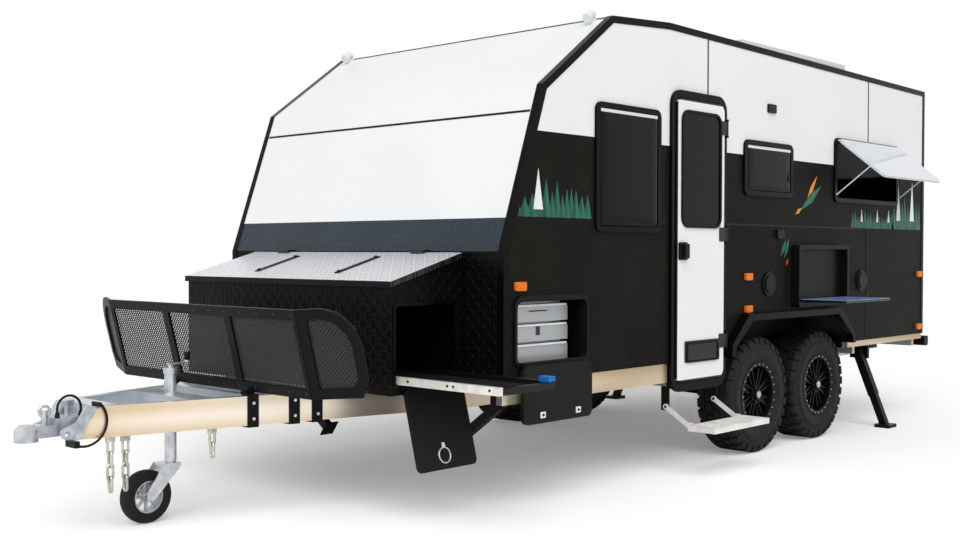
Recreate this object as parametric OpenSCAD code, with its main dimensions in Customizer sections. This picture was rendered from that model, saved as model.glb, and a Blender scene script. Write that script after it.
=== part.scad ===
// Travel trailer for rough roads: a hollow cabin on a galvanised frame, parked with
// its entry door shut, the galley hatch, front hatch, table and rear window open.
// Millimetres. X runs forward to the hitch, Y to the door side, Z up from the ground.

/* [Cabin] */
// Width over the two side walls
body_w = 2400; // [2300:10:2500]
// Length from the rear wall to the upright front wall
body_l = 5373; // [5330:1:5500]
// Thickness of the walls and the roof
wall_t = 35; // [28:1:42]
// Height of the underside of the walls
wall_z = 690; // [685:1:700]
// Height of the roof at its front and rear edges
roof_z = 2744; // [2700:2:2820]
// Rise of the roof's crown over those edges
crown_rise = 42; // [10:2:60]
// Height of the upright front wall's top edge
brow_z = 1383; // [1376:1:1400]
// Height of the fold between the two slopes of the nose
knee_z = 2289; // [2240:1:2340]
// How far the fold lies behind the upright front wall
knee_back = 313; // [280:1:340]
// How far the roof's front edge lies behind the upright front wall
roof_back = 936; // [880:2:980]
// Width of the corner trim
trim_w = 38; // [30:1:45]

/* [Openings] */
// Width of the door frame
door_w = 637; // [610:1:650]
// Height of the door frame's underside
door_z = 507; // [500:1:530]
// Height of the door frame
door_h = 1881; // [1800:1:1900]
// Width of a window frame's bars
window_bar = 34; // [28:1:40]
// Corner radius of the windows
window_r = 50; // [45:5:90]
// Opening angle of the rear window's sash
sash_angle = 51; // [30:1:60]
// How far the table's leaf reaches out from its hinge
table_reach = 352; // [300:1:354]

/* [Chassis] */
// Height of the underside of the rails
rail_z = 495; // [480:1:510]
// Height of the rails
rail_h = 150; // [140:1:160]
// Width of the rails
rail_t = 50; // [40:1:60]
// How far the main rails lie inside the cabin's sides
rail_inset = 500; // [480:1:520]
// How far the drawbar reaches out from the upright front wall
drawbar_l = 1747; // [1630:1:1880]
// Outer face of the drawbar rails at that end
nose_y = 200; // [190:1:215]
// Radius of the hitch ball's socket
socket_r = 25.5; // [24:0.1:27]

/* [Wheels] */
// Tyre outside diameter
tyre_d = 800; // [760:2:800]
// Tyre width
tyre_w = 265; // [235:1:270]
// Distance between the two axles
axle_gap = 870; // [850:2:890]
// Middle of the axle pair behind the door frame
axle_back = 912; // [908:1:920]
// Number of spokes in a rim
spoke_count = 8; // [6:1:10]

/* [Front box and guard] */
// Length of the front box
box_l = 532; // [510:1:550]
// How far the front box lies inside the cabin's sides
box_inset = 290; // [270:1:310]
// Travel of the tray
tray_travel = 680; // [600:5:690]
// Height of the stone guard along its slope
guard_h = 450; // [420:1:470]
// Forward lean of the stone guard
guard_lean = 14; // [8:1:18]
// How far the guard's folds lie inside the cabin's sides
fold_inset = 350; // [320:5:400]
// Backward sweep of the guard's wings
wing_sweep = 20; // [12:1:26]
// Pitch of the guard's mesh
mesh_pitch = 140; // [110:2:200]

/* [Hidden] */
$fn = 48;
// clearance round moving pieces
gap = 6;
// radial play of a pin in its hole
fit = 0.2;
half_w = body_w / 2;
in_y = half_w - wall_t;
rail_top = rail_z + rail_h;
rail_y = half_w - rail_inset;
nose_x = body_l + drawbar_l;
box_y = half_w - box_inset;
guard_fold_y = half_w - fold_inset;
// along the door side, windows and door keep their widths, and the spaces share what is left
mid_window_l = 665;
rear_window_l = 1120;
front_window_l = 648;
spaces = 540 + 645 + 237 + 108 + 773;
spread = (body_l - rear_window_l - mid_window_l - door_w - front_window_l) / spaces;
rear_window_x = 540 * spread;
mid_window_x = rear_window_x + rear_window_l + 645 * spread;
door_x = mid_window_x + mid_window_l + 237 * spread;
front_window_x = door_x + door_w + 108 * spread;
axle_mid = door_x - axle_back;
tyre_r = tyre_d / 2;
axle_x = [axle_mid + axle_gap / 2, axle_mid - axle_gap / 2];
wheel_y = half_w - tyre_w / 2;
// the crown lies this far behind the upright front wall
crown_back = 1525;
// outline of the cabin seen from the side, from the rear bottom corner round to the front one
outline = [[0, wall_z], [0, roof_z], [body_l - crown_back, roof_z + crown_rise], [body_l - roof_back, roof_z],
  [body_l - knee_back, knee_z], [body_l, brow_z], [body_l, wall_z]];
// height of the roof behind its crown
function rear_roof_at(x) = roof_z + crown_rise * x / (body_l - crown_back);
// perimeter rails below the side walls
skirt_h = 119;
rear_skirt_h = 45;
well_y = half_w - tyre_w - 90;
entry_y = half_w - 350;
skirt_t = 40;
skirt_y = half_w - 10;
// wheel arch
arch_x = [axle_mid - 905, axle_mid + 895];
arch_top = 965;
// front box
box_x = body_l;
box_drop = 150;
box_slope = box_drop / box_l;
box_rear_z = brow_z - 36;
box_front_z = box_rear_z - box_l * box_slope;
box_t = 15;
hatch_x = [box_x + 60, box_x + box_l - 31];
hatch_z = [rail_top + 50, 1100];
tray_out = box_y + 20 + tray_travel;
// lid hinges
lid_axis = [box_x + 14, brow_z - 2];
lid_hinges = [260 - box_y, box_y - 360];
// galley hatch
galley_x = [body_l - 713, body_l - 76];
galley_z = [760, 1147];
galley_r = 40;
galley_depth = 500;
galley_axis = [half_w + 24, galley_z[0] + 25];
// table, hinge of its leaf
table_x = [axle_mid - 775, axle_mid + 5];
table_z = [990, 1432];
table_hinge = [half_w + 50, 1040];
// door leaf
leaf_bar = 38;
leaf_x = [door_x + leaf_bar + gap, door_x + door_w - leaf_bar - gap];
leaf_z = [door_z + 62, door_z + door_h - 52];
leaf_y = [half_w - 7, half_w + 28];
door_axis = [door_x + 15, half_w + 30];
hinge_z = [leaf_z[0] + 191, (leaf_z[0] + leaf_z[1] - 5) / 2, leaf_z[1] - 196];
pane = [leaf_x[0] + 62, leaf_x[1] - 62, leaf_z[1] - 786, leaf_z[1] - 86];
// step
step_pivot = [in_y - 15, 414];
step_end = [step_pivot[0] + 160, 315];
step_x = [door_x - 20, door_x + door_w - 10];
// jack and jockey wheel
jack_x = nose_x - 510;
jockey_x = jack_x + 145;
jockey_r = 135;
// drawbar lines: inner face at a station
bar_x0 = body_l - 223;
bar_slope = (rail_y - nose_y) / (nose_x - bar_x0);
bar_t = rail_t * sqrt(1 + bar_slope * bar_slope);
function bar_in(x) = rail_y - bar_t - (x - bar_x0) * bar_slope;
// how much farther forward the rails' lower edge reaches than their upper edge
nose_slant = 95;
// legs: side is 1 on the door side
leg_splay = 21.7;
rear_leg = [arch_x[0] - 414, half_w - 130, 620];
rear_leg_tube = 64;
rear_leg_wall = 4;
rear_leg_len = rear_leg[2] / cos(leg_splay);
front_leg = [body_l - 273, half_w - 250, 540];
front_leg_len = 500;
front_leg_drop = 36;
// guard: foot of the middle panel
guard_x = nose_x - 765;
guard_z = rail_top + 22;
// windows of a side: rear edge, front edge, lower edge, upper edge
W_X0 = 0;
W_X1 = 1;
W_Z0 = 2;
W_Z1 = 3;
front_window = [front_window_x, front_window_x + front_window_l, 1495, 2241];
mid_window = [mid_window_x, mid_window_x + mid_window_l, 1763, 2139];
rear_window = [rear_window_x, rear_window_x + rear_window_l, 1757, 2242];
left_windows = [front_window, mid_window, rear_window];
right_windows = [front_window, rear_window];
// whole object's middle, from its farthest points
nose_tip = nose_x + 320;
bumper_back = 300;
foot_half = 60;
mid_x = (nose_tip - bumper_back) / 2;
mid_y = (tray_out - (rear_leg[1] + rear_leg[2] * tan(leg_splay) + foot_half)) / 2;

// Small helpers

module placed() {
  translate([-mid_x, -mid_y, 0]) children();
}

// runs its child once for each side
module both() {
  children();
  mirror([0, 1, 0]) children();
}

// turns a drawing in X and Z into a plate from y0 to y1
module plate_y(y0, y1) {
  translate([0, y1, 0]) rotate([90, 0, 0]) linear_extrude(y1 - y0) children();
}

module box(x, y, z) {
  translate([x[0], y[0], z[0]]) cube([x[1] - x[0], y[1] - y[0], z[1] - z[0]]);
}

module rounded(x0, x1, z0, z1, r) {
  translate([x0 + r, z0]) square([x1 - x0 - 2 * r, z1 - z0]);
  translate([x0, z0 + r]) square([x1 - x0, z1 - z0 - 2 * r]);
  for (x = [x0 + r, x1 - r], z = [z0 + r, z1 - r]) translate([x, z]) circle(r);
}

module window_shape(w, inset) {
  rounded(w[W_X0] + inset, w[W_X1] - inset, w[W_Z0] + inset, w[W_Z1] - inset, window_r - inset);
}

module rod(p, q, r) {
  d = q - p;
  translate(p) rotate([0, acos(d[2] / norm(d)), atan2(d[1], d[0])]) cylinder(h = norm(d), r = r);
}

// unit normal that points into the cabin from edge i of the outline
function edge_in(i) = let (d = outline[i + 1] - outline[i], n = norm(d)) [d[1] / n, -d[0] / n];
// outline point i moved inward by t along both its edges
function inner(i, t) = let (a = edge_in(i - 1), b = edge_in(i), k = 1 + a * b)
  outline[i] + (a + b) * t / k;
function ring(t) = concat([[t, wall_z]], [for (i = [1:5]) inner(i, t)], [[body_l - t, wall_z]]);

// Frame

module drawbar_rails() {
  x1 = nose_x + nose_slant;
  color("#b9b3a4") both() difference() {
    translate([0, 0, rail_z]) linear_extrude(rail_h)
      polygon([[bar_x0, rail_y], [x1, bar_in(x1) + bar_t], [x1, bar_in(x1)], [bar_x0, rail_y - bar_t]]);
    plate_y(-1, rail_y) polygon([[nose_x, rail_top], [nose_x, rail_top + 1], [x1 + 1, rail_top + 1],
      [x1 + 1, rail_z - 1], [x1, rail_z]]);
  }
}

module main_rails() {
  color("#b9b3a4") both() {
    box([0, bar_x0], [rail_y - rail_t, rail_y], [rail_z, rail_top]);
    box([0, arch_x[0] - gap], [skirt_y - skirt_t, skirt_y], [wall_z - rear_skirt_h, wall_z]);
    box([door_x + door_w, body_l], [skirt_y - skirt_t, skirt_y], [wall_z - skirt_h, wall_z]);
  }
}

module cross_members() {
  color("#a9a496") {
    for (i = [0:5]) let (x = 60 + i * (bar_x0 - 130) / 5)
      box([x, x + 60], [rail_t - rail_y, rail_y - rail_t], [rail_top - 100, rail_top]);
    both() for (x = [60, arch_x[0] - 210, door_x + door_w + 60, galley_x[0] - 160, body_l - 400])
      box([x, x + 40], [rail_y, skirt_y - skirt_t], [rail_top - 60, rail_top]);
    for (x = [box_x + 200, guard_x - 40]) translate([0, 0, rail_z + 30]) linear_extrude(rail_h - 30)
      polygon([[x, bar_in(x)], [x + 60, bar_in(x + 60)], [x + 60, -bar_in(x + 60)], [x, -bar_in(x)]]);
    difference() {
      translate([0, 0, rail_top - 70]) linear_extrude(70)
        polygon([[jack_x - 60, bar_in(jack_x - 60)], [jack_x + 60, bar_in(jack_x + 60)],
          [jack_x + 60, -bar_in(jack_x + 60)], [jack_x - 60, -bar_in(jack_x - 60)]]);
      translate([jack_x, 0, rail_z]) cylinder(h = 2 * rail_h, r = 30);
    }
    translate([0, 0, rail_z]) linear_extrude(rail_h)
      polygon([[nose_x - 110, bar_in(nose_x - 110)], [nose_x, bar_in(nose_x)],
        [nose_x, -bar_in(nose_x)], [nose_x - 110, -bar_in(nose_x - 110)]]);
  }
}

// The hitch: a mounting block, a head over the ball, a ring lever and a wing bolt
module coupling() {
  ball_x = nose_tip - 55;
  color("#8f9296") {
    difference() {
      union() {
        box([nose_x, nose_x + 150], [-70, 70], [rail_z + 15, rail_z + 95]);
        box([nose_x + 100, ball_x], [-42, 42], [rail_z + 5, rail_z + 62]);
        translate([ball_x, 0, rail_z - 10]) cylinder(h = 60, r = 55);
        translate([ball_x, 0, rail_z + 50]) cylinder(h = 18, r1 = 55, r2 = 34);
      }
      translate([ball_x, 0, rail_z - 12]) cylinder(h = 47, r = socket_r);
    }
    translate([nose_x + 175, 0, rail_z + 55]) cylinder(h = 75, r = 15);
    translate([nose_x + 175, 0, rail_z + 125]) rotate([90, 0, 0]) rotate_extrude()
      translate([26, 0]) circle(7);
    translate([nose_x + 60, 0, rail_z + 90]) cylinder(h = 55, r = 12);
    box([nose_x + 25, nose_x + 95], [-6, 6], [rail_z + 140, rail_z + 168]);
  }
  // end plates on the rails' slanted ends, each with a recovery lug
  lug = bar_in(nose_x) - 20;
  color("#8f9296") both() {
    plate_y(lug - 28, nose_y - 10) polygon([[nose_x, rail_top], [nose_x + 18, rail_top],
      [nose_x + nose_slant + 18, rail_z], [nose_x + nose_slant, rail_z]]);
    plate_y(lug, lug + 25) difference() {
      union() {
        polygon([[nose_x + 50, rail_z + 90], [nose_x + nose_slant + 45, rail_z + 55],
          [nose_x + nose_slant + 30, rail_z], [nose_x + nose_slant + 5, rail_z]]);
        translate([nose_x + nose_slant + 40, rail_z + 28]) circle(28);
      }
      translate([nose_x + nose_slant + 40, rail_z + 28]) circle(15);
    }
  }
}

// Two cable loops: an arch that stands on the hitch block, and a bow round the end of the door-side rail
module brake_cables() {
  wire = 6;
  arch_r = 60;
  bow_r = 113;
  bow_x = nose_x + 85;
  bow_z = rail_z + 85;
  bow_y = nose_y + 18;
  color("#1c1c1e") {
    translate([nose_x + 78, 55, rail_z + 95]) {
      for (d = [-1, 1]) translate([d * arch_r, 0, 0]) cylinder(h = 42, r = wire);
      translate([0, 0, 42]) rotate([90, 0, 0]) rotate_extrude(angle = 180)
        translate([arch_r, 0]) circle(wire);
    }
    translate([bow_x, bow_y, bow_z]) rotate([90, 0, 0]) rotate([0, 0, 135])
      rotate_extrude(angle = 157) translate([bow_r, 0]) circle(wire);
    box([nose_x, nose_x + 14], [bar_in(nose_x), bow_y + wire], [rail_top, rail_top + 22]);
    box([nose_x + 112, nose_x + 138], [bar_in(nose_x) - 20, bow_y + wire], [rail_z - 32, rail_z]);
  }
}

module chain_link(wire, inside) {
  half = inside / 2 - 8;
  rotate([90, 0, 0]) {
    translate([0, half]) rotate_extrude(angle = 180) translate([8 + wire, 0]) circle(wire, $fn = 20);
    translate([0, -half]) mirror([0, 1, 0]) rotate_extrude(angle = 180)
      translate([8 + wire, 0]) circle(wire, $fn = 20);
    for (s = [-1, 1]) translate([s * (8 + wire), -half, 0]) rotate([-90, 0, 0])
      cylinder(h = 2 * half, r = wire, $fn = 20);
  }
}

// A chain that hangs from a lug below a rail
module hung_chain(links) {
  box([-25, 25], [-5, 5], [-26, 0]);
  for (i = [0:links - 1]) translate([0, 0, -52 - i * 59.5]) rotate([0, 0, i % 2 == 0 ? 0 : 90])
    chain_link(6.5, 60);
}

module safety_chains() {
  color("#a7aaad") {
    for (x = [nose_x - 60, nose_x - 130])
      translate([x, bar_in(x) + bar_t / 2, rail_z]) hung_chain(4);
    translate([jack_x - 40, bar_in(jack_x - 40) + bar_t / 2, rail_z]) hung_chain(2);
  }
}

module jack_tube() {
  color("#b5b8ba") {
    difference() {
      translate([jack_x, 0, 300]) cylinder(h = rail_top + 105 - 300, r = 30);
      translate([jack_x, 0, 290]) cylinder(h = rail_top + 80 - 290, r = 26);
    }
    translate([jack_x, 0, rail_top + 105]) cylinder(h = 30, r = 36);
    translate([jack_x, 0, rail_top + 135]) cylinder(h = 14, r = 10);
    box([jack_x - 110, jack_x + 12], [-8, 8], [rail_top + 149, rail_top + 159]);
    translate([jack_x - 100, 0, rail_top + 159]) cylinder(h = 55, r = 11);
  }
}

// Stone guard in its own plane: Y across, Z up the slope
module guard_plane() {
  translate([guard_x, 0, guard_z]) rotate([0, guard_lean, 0]) children();
}

module wing_place() {
  translate([0, guard_fold_y, 0]) rotate([0, 0, wing_sweep]) children();
}

module wing_shape(inset) {
  w = 325;
  r = 215 - inset;
  polygon([[inset, inset], [w - 45 - inset * 0.8, inset], [w - inset, 90],
    [w - inset, guard_h - inset - r], [w - inset - r, guard_h - inset], [inset, guard_h - inset]]);
  intersection() {
    translate([w - inset - r, guard_h - inset - r]) circle(r);
    translate([w - inset - r, guard_h - inset - r]) square(r + 1);
  }
}

module upright(t) {
  rotate([90, 0, 90]) linear_extrude(t) children();
}

module guard_frame() {
  bar = 52;
  color("#222325") {
    guard_plane() {
      upright(12) difference() {
        translate([-guard_fold_y, 0]) square([2 * guard_fold_y, guard_h]);
        for (i = [-1:1]) translate([(i - 0.5) * 2 * guard_fold_y / 3 + bar / 2, bar])
          square([2 * guard_fold_y / 3 - bar, guard_h - 2 * bar]);
      }
      both() wing_place() upright(12) difference() {
        wing_shape(0);
        wing_shape(bar);
      }
    }
    both() {
      for (x = [guard_x - 5, guard_x - 225, guard_x - 350]) rail_strap(x);
      box([guard_x - 5, guard_x + 50], [bar_in(guard_x) - 20, bar_in(guard_x) + 25],
        [rail_top + 9, guard_z + 2]);
    }
  }
}

// A strap round a drawbar rail, from x on
module rail_strap(x) {
  t = 9;
  in = [bar_in(x), bar_in(x + 55)];
  out = in + [bar_t, bar_t];
  far = out + [t, t];
  translate([0, 0, rail_z - t]) linear_extrude(rail_h + 2 * t)
    polygon([[x, out[0]], [x + 55, out[1]], [x + 55, far[1]], [x, far[0]]]);
  for (z = [rail_z - t, rail_top]) translate([0, 0, z]) linear_extrude(t)
    polygon([[x, in[0]], [x + 55, in[1]], [x + 55, far[1]], [x, far[0]]]);
}

// One slanted bar of the mesh on the line y = c + d z, cut at the panel's edges and corner
module mesh_bar(y, z, corner, c, d) {
  low = d > 0 ? max(z[0], y[0] - c) : max(z[0], c - y[1]);
  high = d > 0 ? min(z[1], y[1] - c, (corner - c) / 2) : min(z[1], c - y[0]);
  if (high - low > 70 && (d > 0 || c < corner))
    translate([d > 0 ? -3 : -6, c + d * low, low]) rotate([-45 * d, 0, 0]) translate([0, -3.5, 0])
      cube([3, 7, (high - low) * sqrt(2)]);
}

// Two layers of bars behind a panel, crossing in diamonds
module mesh_panel(y, corner) {
  z = [18, guard_h - 18];
  n = floor((y[1] - y[0] + z[1] - z[0]) / mesh_pitch);
  for (i = [0:n]) mesh_bar(y, z, corner, y[0] - z[1] + (i + 0.5) * mesh_pitch, 1);
  for (i = [0:n]) mesh_bar(y, z, corner, y[0] + z[0] + (i + 0.5) * mesh_pitch, -1);
}

module guard_mesh() {
  color("#2b2c2e") guard_plane() {
    mesh_panel([18 - guard_fold_y, guard_fold_y - 18], 10000);
    both() wing_place() mesh_panel([18, 300], 280 + guard_h - 105);
  }
}

// Front box, with the hatch opening on the door side and guides for the tray
module front_box() {
  low = [[box_x, rail_top], [box_x, box_rear_z], [box_x + box_l, box_front_z], [box_x + box_l, rail_top]];
  color("#26272a") {
    difference() {
      plate_y(-box_y, box_y) polygon(low);
      plate_y(box_t - box_y, box_y - box_t) polygon([[box_x + box_t, rail_top + box_t],
        [box_x + box_t, box_rear_z + 50], [box_x + box_l - box_t, box_rear_z + 50],
        [box_x + box_l - box_t, rail_top + box_t]]);
      plate_y(box_y - 2 * box_t, box_y + 5) rounded(hatch_x[0], hatch_x[1], hatch_z[0], hatch_z[1], 30);
    }
    for (x = [hatch_x[0] + 20, hatch_x[1] - 50])
      box([x, x + 30], [100, box_y - box_t], [rail_top + box_t, hatch_z[0] + gap - fit]);
    for (y = lid_hinges) {
      for (k = [y - 14, y + 102])
        box([box_x, lid_axis[0] + 6], [k, k + 12], [lid_axis[1] - 7, lid_axis[1] + 7]);
      translate([lid_axis[0], y - 14, lid_axis[1]]) rotate([-90, 0, 0]) cylinder(h = 128, r = 5);
    }
  }
}

// The front hatch's door, hanging open below the tray
module front_hatch_door() {
  color("#26272a") translate([0, box_y + 9, hatch_z[0] - 16]) {
    translate([hatch_x[0] - 25, 0, 0]) rotate([0, 90, 0]) cylinder(h = hatch_x[1] - hatch_x[0] - 15, r = 9);
    rotate([15, 0, 0]) plate_y(-2, 18) rounded(hatch_x[0] - 25, hatch_x[1] - 40, -440, -4, 32);
  }
}

// Cabin

module floor_shape() {
  difference() {
    translate([0, skirt_t - skirt_y]) square([body_l, 2 * (skirt_y - skirt_t)]);
    both2() translate([arch_x[0] + 30, well_y]) square([arch_x[1] - arch_x[0] - 60, half_w]);
    translate([leaf_x[0] - gap, entry_y]) square([leaf_x[1] - leaf_x[0] + 2 * gap, half_w]);
  }
}

module both2() {
  children();
  mirror([0, 1]) children();
}

// Floor with the lowered well behind the entry door
module floor_panel() {
  well = [leaf_x[0] - gap, leaf_x[1] + gap];
  color("#8d877c") {
    translate([0, 0, rail_top]) linear_extrude(wall_z - rail_top) floor_shape();
    difference() {
      box([well[0] - 12, well[1] + 12], [entry_y - 12, in_y], [leaf_z[0] - 25, rail_top]);
      box(well, [entry_y, in_y + 5], [leaf_z[0] - 10, wall_z]);
    }
  }
}

module arch_shape(inset) {
  x0 = arch_x[0] + inset;
  x1 = arch_x[1] - inset;
  polygon([[x0, rail_top], [x0, 760 - inset * 0.4], [x0 + 235, arch_top - inset],
    [x1 - 215, arch_top - inset], [x1, 770 - inset * 0.4], [x1, rail_top]]);
}

module wheel_wells() {
  color("#202123") both() {
    plate_y(well_y + 15, in_y) difference() {
      arch_shape(30);
      translate([0, -1]) arch_shape(45);
    }
    plate_y(well_y, well_y + 15) arch_shape(30);
  }
}

// A side wall stands with its outer face at half_w
module side_wall(windows) {
  difference() {
    plate_y(in_y, half_w) polygon(outline);
    plate_y(in_y - 5, half_w + 5) for (w = windows) window_shape(w, 14);
    plate_y(in_y - 5, half_w + 5) translate([0, -1]) arch_shape(45);
    children();
  }
}

module wall_left() {
  color("#e9ebea") side_wall(left_windows) {
    plate_y(in_y - 5, half_w + 5)
      rounded(door_x + 12, door_x + door_w - 12, door_z + 12, door_z + door_h - 12, 90);
    plate_y(in_y - 5, half_w + 5)
      rounded(galley_x[0] + 10, galley_x[1] - 10, galley_z[0] + 10, galley_z[1] - 10, galley_r + 10);
  }
}

module wall_right() {
  color("#e9ebea") mirror([0, 1, 0]) side_wall(right_windows);
}

// one panel between the side walls, from outline point a to b
module panel(a, b) {
  in = ring(wall_t);
  plate_y(-in_y, in_y) polygon(concat([for (i = [a:b]) outline[i]], [for (i = [b:-1:a]) in[i]]));
}

module rear_wall() {
  color("#e9ebea") panel(0, 1);
}

module roof() {
  color("#e9ebea") panel(1, 3);
}

module nose_top() {
  color("#e9ebea") panel(3, 4);
}

module nose_mid() {
  color("#e9ebea") panel(4, 5);
}

module nose_low() {
  color("#202123") panel(5, 6);
}

// Angle trim along every edge between the side walls and the other panels
module edge_trim() {
  t = 4;
  color("#18191a") both() {
    plate_y(half_w, half_w + t) difference() {
      polygon(ring(-t));
      polygon(ring(trim_w));
    }
    plate_y(half_w - trim_w, half_w) difference() {
      polygon(ring(-t));
      polygon(outline);
    }
  }
}

module door_frame() {
  x1 = door_x + door_w;
  z1 = door_z + door_h;
  color("#1a1b1d") {
    plate_y(half_w, half_w + 20) difference() {
      rounded(door_x, x1, door_z, z1, 100);
      rounded(door_x + leaf_bar, x1 - leaf_bar, door_z + 55, z1 - 45, 65);
    }
    for (z = hinge_z) {
      for (k = [z - 15, z + 92]) box([door_x + 5, door_x + 25], [half_w + 19, door_axis[1] + 7], [k, k + 13]);
      translate([door_axis[0], door_axis[1], z - 15]) cylinder(h = 120, r = 5);
    }
    plate_y(in_y, half_w) difference() {
      rounded(door_x + 12, x1 - 12, door_z + 12, z1 - 12, 90);
      rounded(door_x + leaf_bar, x1 - leaf_bar, door_z + 55, z1 - 45, 65);
    }
  }
}

module window_ring(w) {
  plate_y(half_w, half_w + 16) difference() {
    window_shape(w, 0);
    window_shape(w, window_bar);
  }
  plate_y(in_y, half_w) difference() {
    window_shape(w, 14);
    window_shape(w, window_bar);
  }
}

module window_frames() {
  color("#17181a") {
    for (w = left_windows) window_ring(w);
    mirror([0, 1, 0]) for (w = right_windows) window_ring(w);
  }
}

module window_panes() {
  color("#3b424a") {
    for (w = [front_window, mid_window]) plate_y(half_w + 2, half_w + 9) window_shape(w, window_bar);
    mirror([0, 1, 0]) for (w = right_windows) plate_y(half_w + 2, half_w + 9) window_shape(w, window_bar);
  }
}

// The rear window's sash, hung at its top edge and propped open
module open_sash() {
  w = rear_window;
  hang_z = w[W_Z1] - 20;
  hang_y = half_w + 24;
  low_z = w[W_Z0] + 8 - hang_z;
  prop_z = w[W_Z0] + 60;
  color("#3b424a") {
    translate([0, hang_y, hang_z]) rotate([sash_angle, 0, 0]) difference() {
      plate_y(-5, 12) rounded(w[W_X0] + 30, w[W_X1] - 30, low_z, 5, 45);
      plate_y(-8, 3) rounded(w[W_X0] + 60, w[W_X1] - 60, low_z + 30, -35, 30);
    }
    translate([w[W_X0] + 40, hang_y, hang_z]) rotate([0, 90, 0])
      cylinder(h = w[W_X1] - w[W_X0] - 80, r = 8);
  }
  color("#2a2b2d") for (x = [w[W_X0] + 18, w[W_X1] - 18]) {
    a = [x, half_w + 22, prop_z];
    b = [x, hang_y + 330 * sin(sash_angle), hang_z - 330 * cos(sash_angle)];
    rod(a, b, 5);
    side = sign(x - w[W_X0] - 100);
    translate([x, half_w + 16, prop_z]) rotate([-90, 0, 0]) cylinder(h = 12, r = 7);
    rod(b - [20 * side, 0, 0], b + [4 * side, 0, 0], 6);
  }
}

// Galley hatch: its frame and the case behind it
module galley_frame() {
  inner = [galley_x[0] + 20, galley_x[1] - 20];
  iz = [galley_z[0] + 20, galley_z[1] - 32];
  color("#1a1b1d") {
    plate_y(half_w, half_w + 15) difference() {
      rounded(galley_x[0], galley_x[1], galley_z[0], galley_z[1], galley_r + 20);
      rounded(inner[0], inner[1], iz[0], iz[1], galley_r);
    }
    plate_y(in_y, half_w) difference() {
      rounded(galley_x[0] + 10, galley_x[1] - 10, galley_z[0] + 10, galley_z[1] - 10, galley_r + 10);
      rounded(inner[0], inner[1], iz[0], iz[1], galley_r);
    }
    for (x = [inner[0] + gap + 14, inner[1] - gap - 28])
      box([x, x + 14], [half_w + 10, galley_axis[0] + 6], [galley_z[0] + 12, galley_axis[1] + 6]);
    translate([inner[0] + gap + 14, galley_axis[0], galley_axis[1]]) rotate([0, 90, 0])
      cylinder(h = inner[1] - inner[0] - 2 * gap - 28, r = 4);
    difference() {
      box([inner[0] - 12, inner[1] + 12], [half_w - galley_depth, in_y], [iz[0] - 12, iz[1] + 12]);
      box(inner, [half_w - galley_depth + 12, half_w], iz);
    }
  }
}

// Three drawers, one above the other, each with a rail to pull it by
module galley_drawers() {
  n = 3;
  x = [galley_x[0] + 90, galley_x[1] - 20 - gap];
  z0 = galley_z[0] + 20;
  pitch = (galley_z[1] - 45 - z0) / n;
  face = half_w - 72;
  color("#b4b8bb") for (i = [0:n - 1]) {
    z = z0 + i * pitch;
    box(x, [face - 360, face], [i == 0 ? z : z + gap / 2, z + pitch - 22]);
    box([x[0] + 20, x[1] - 20], [face - 30, face + 8], [z + pitch - 22, z + pitch - 10]);
    box([x[0] + 20, x[1] - 20], [face - 340, face - 40], [z + pitch - 22, z + pitch + gap / 2]);
  }
}

module table_frame() {
  color("#1b1c1e") {
    difference() {
      plate_y(half_w, half_w + 65) difference() {
        rounded(table_x[0], table_x[1], table_z[0], table_z[1], 25);
        rounded(table_x[0] + 30, table_x[1] - 30, table_z[0] + 30, table_z[1] - 30, 8);
      }
      translate([table_x[0] + 12, table_hinge[0], table_hinge[1]]) rotate([0, 90, 0])
        cylinder(h = table_x[1] - table_x[0] - 24, r = 5 + fit);
    }
    plate_y(half_w, half_w + 8)
      rounded(table_x[0] + 25, table_x[1] - 25, table_z[0] + 25, table_z[1] - 25, 8);
  }
}

module table_leaf() {
  x = [table_x[0] + 30 + gap, table_x[1] - 30 - gap];
  color("#2c2d30") {
    box(x, [table_hinge[0] - 6, table_hinge[0] + table_reach], [table_hinge[1] - 14, table_hinge[1] + 6]);
    translate([x[0] - gap - 15, table_hinge[0], table_hinge[1]]) rotate([0, 90, 0])
      cylinder(h = x[1] - x[0] + 2 * gap + 30, r = 5);
  }
}

// Round speakers, the small vent and an outlet
module wall_fittings() {
  color("#19191b") {
    for (x = [axle_mid + 331, axle_mid - 1106]) translate([x, half_w, 1160]) rotate([-90, 0, 0]) {
      cylinder(h = 14, r = 83);
      cylinder(h = 22, r = 62);
    }
    plate_y(half_w, half_w + 14) rounded(mid_window_x + 240, mid_window_x + 348, 2343, 2403, 10);
    plate_y(half_w, half_w + 22) rounded(axle_mid + 134, axle_mid + 234, 1474, 1536, 12);
  }
}

// Amber side markers, red tail lamps and the two lamps on the roof's front corners
module lamps() {
  markers = [[body_l - 125, 1197], [axle_mid + 605, 1214], [axle_mid + 605, 996], [90, 1197], [90, 752]];
  color("#e08a1e") both() for (m = markers)
    plate_y(half_w, half_w + 18) rounded(m[0] - 42, m[0] + 42, m[1] - 24, m[1] + 24, 10);
  color("#b5231d") both() box([-24, 0], [half_w - 270, half_w - 90], [860, 1060]);
  // on the top of the nose's upper slope
  fall = atan2(roof_z - knee_z, roof_back - knee_back);
  color("#e08a1e") both() translate([body_l - roof_back, half_w - 125, roof_z]) rotate([0, fall, 0]) {
    box([12, 62], [-20, 20], [0, 16]);
    translate([4, 0, 38]) rotate([0, 90, 0]) cylinder(h = 66, r1 = 24, r2 = 30);
  }
}

module mudguards() {
  color("#1d1e20") both() plate_y(half_w, half_w + 62) difference() {
    arch_shape(0);
    translate([0, -1]) arch_shape(45);
    translate([0, rail_top - 50]) square([body_l, wall_z - rail_top + 50]);
  }
}

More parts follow.
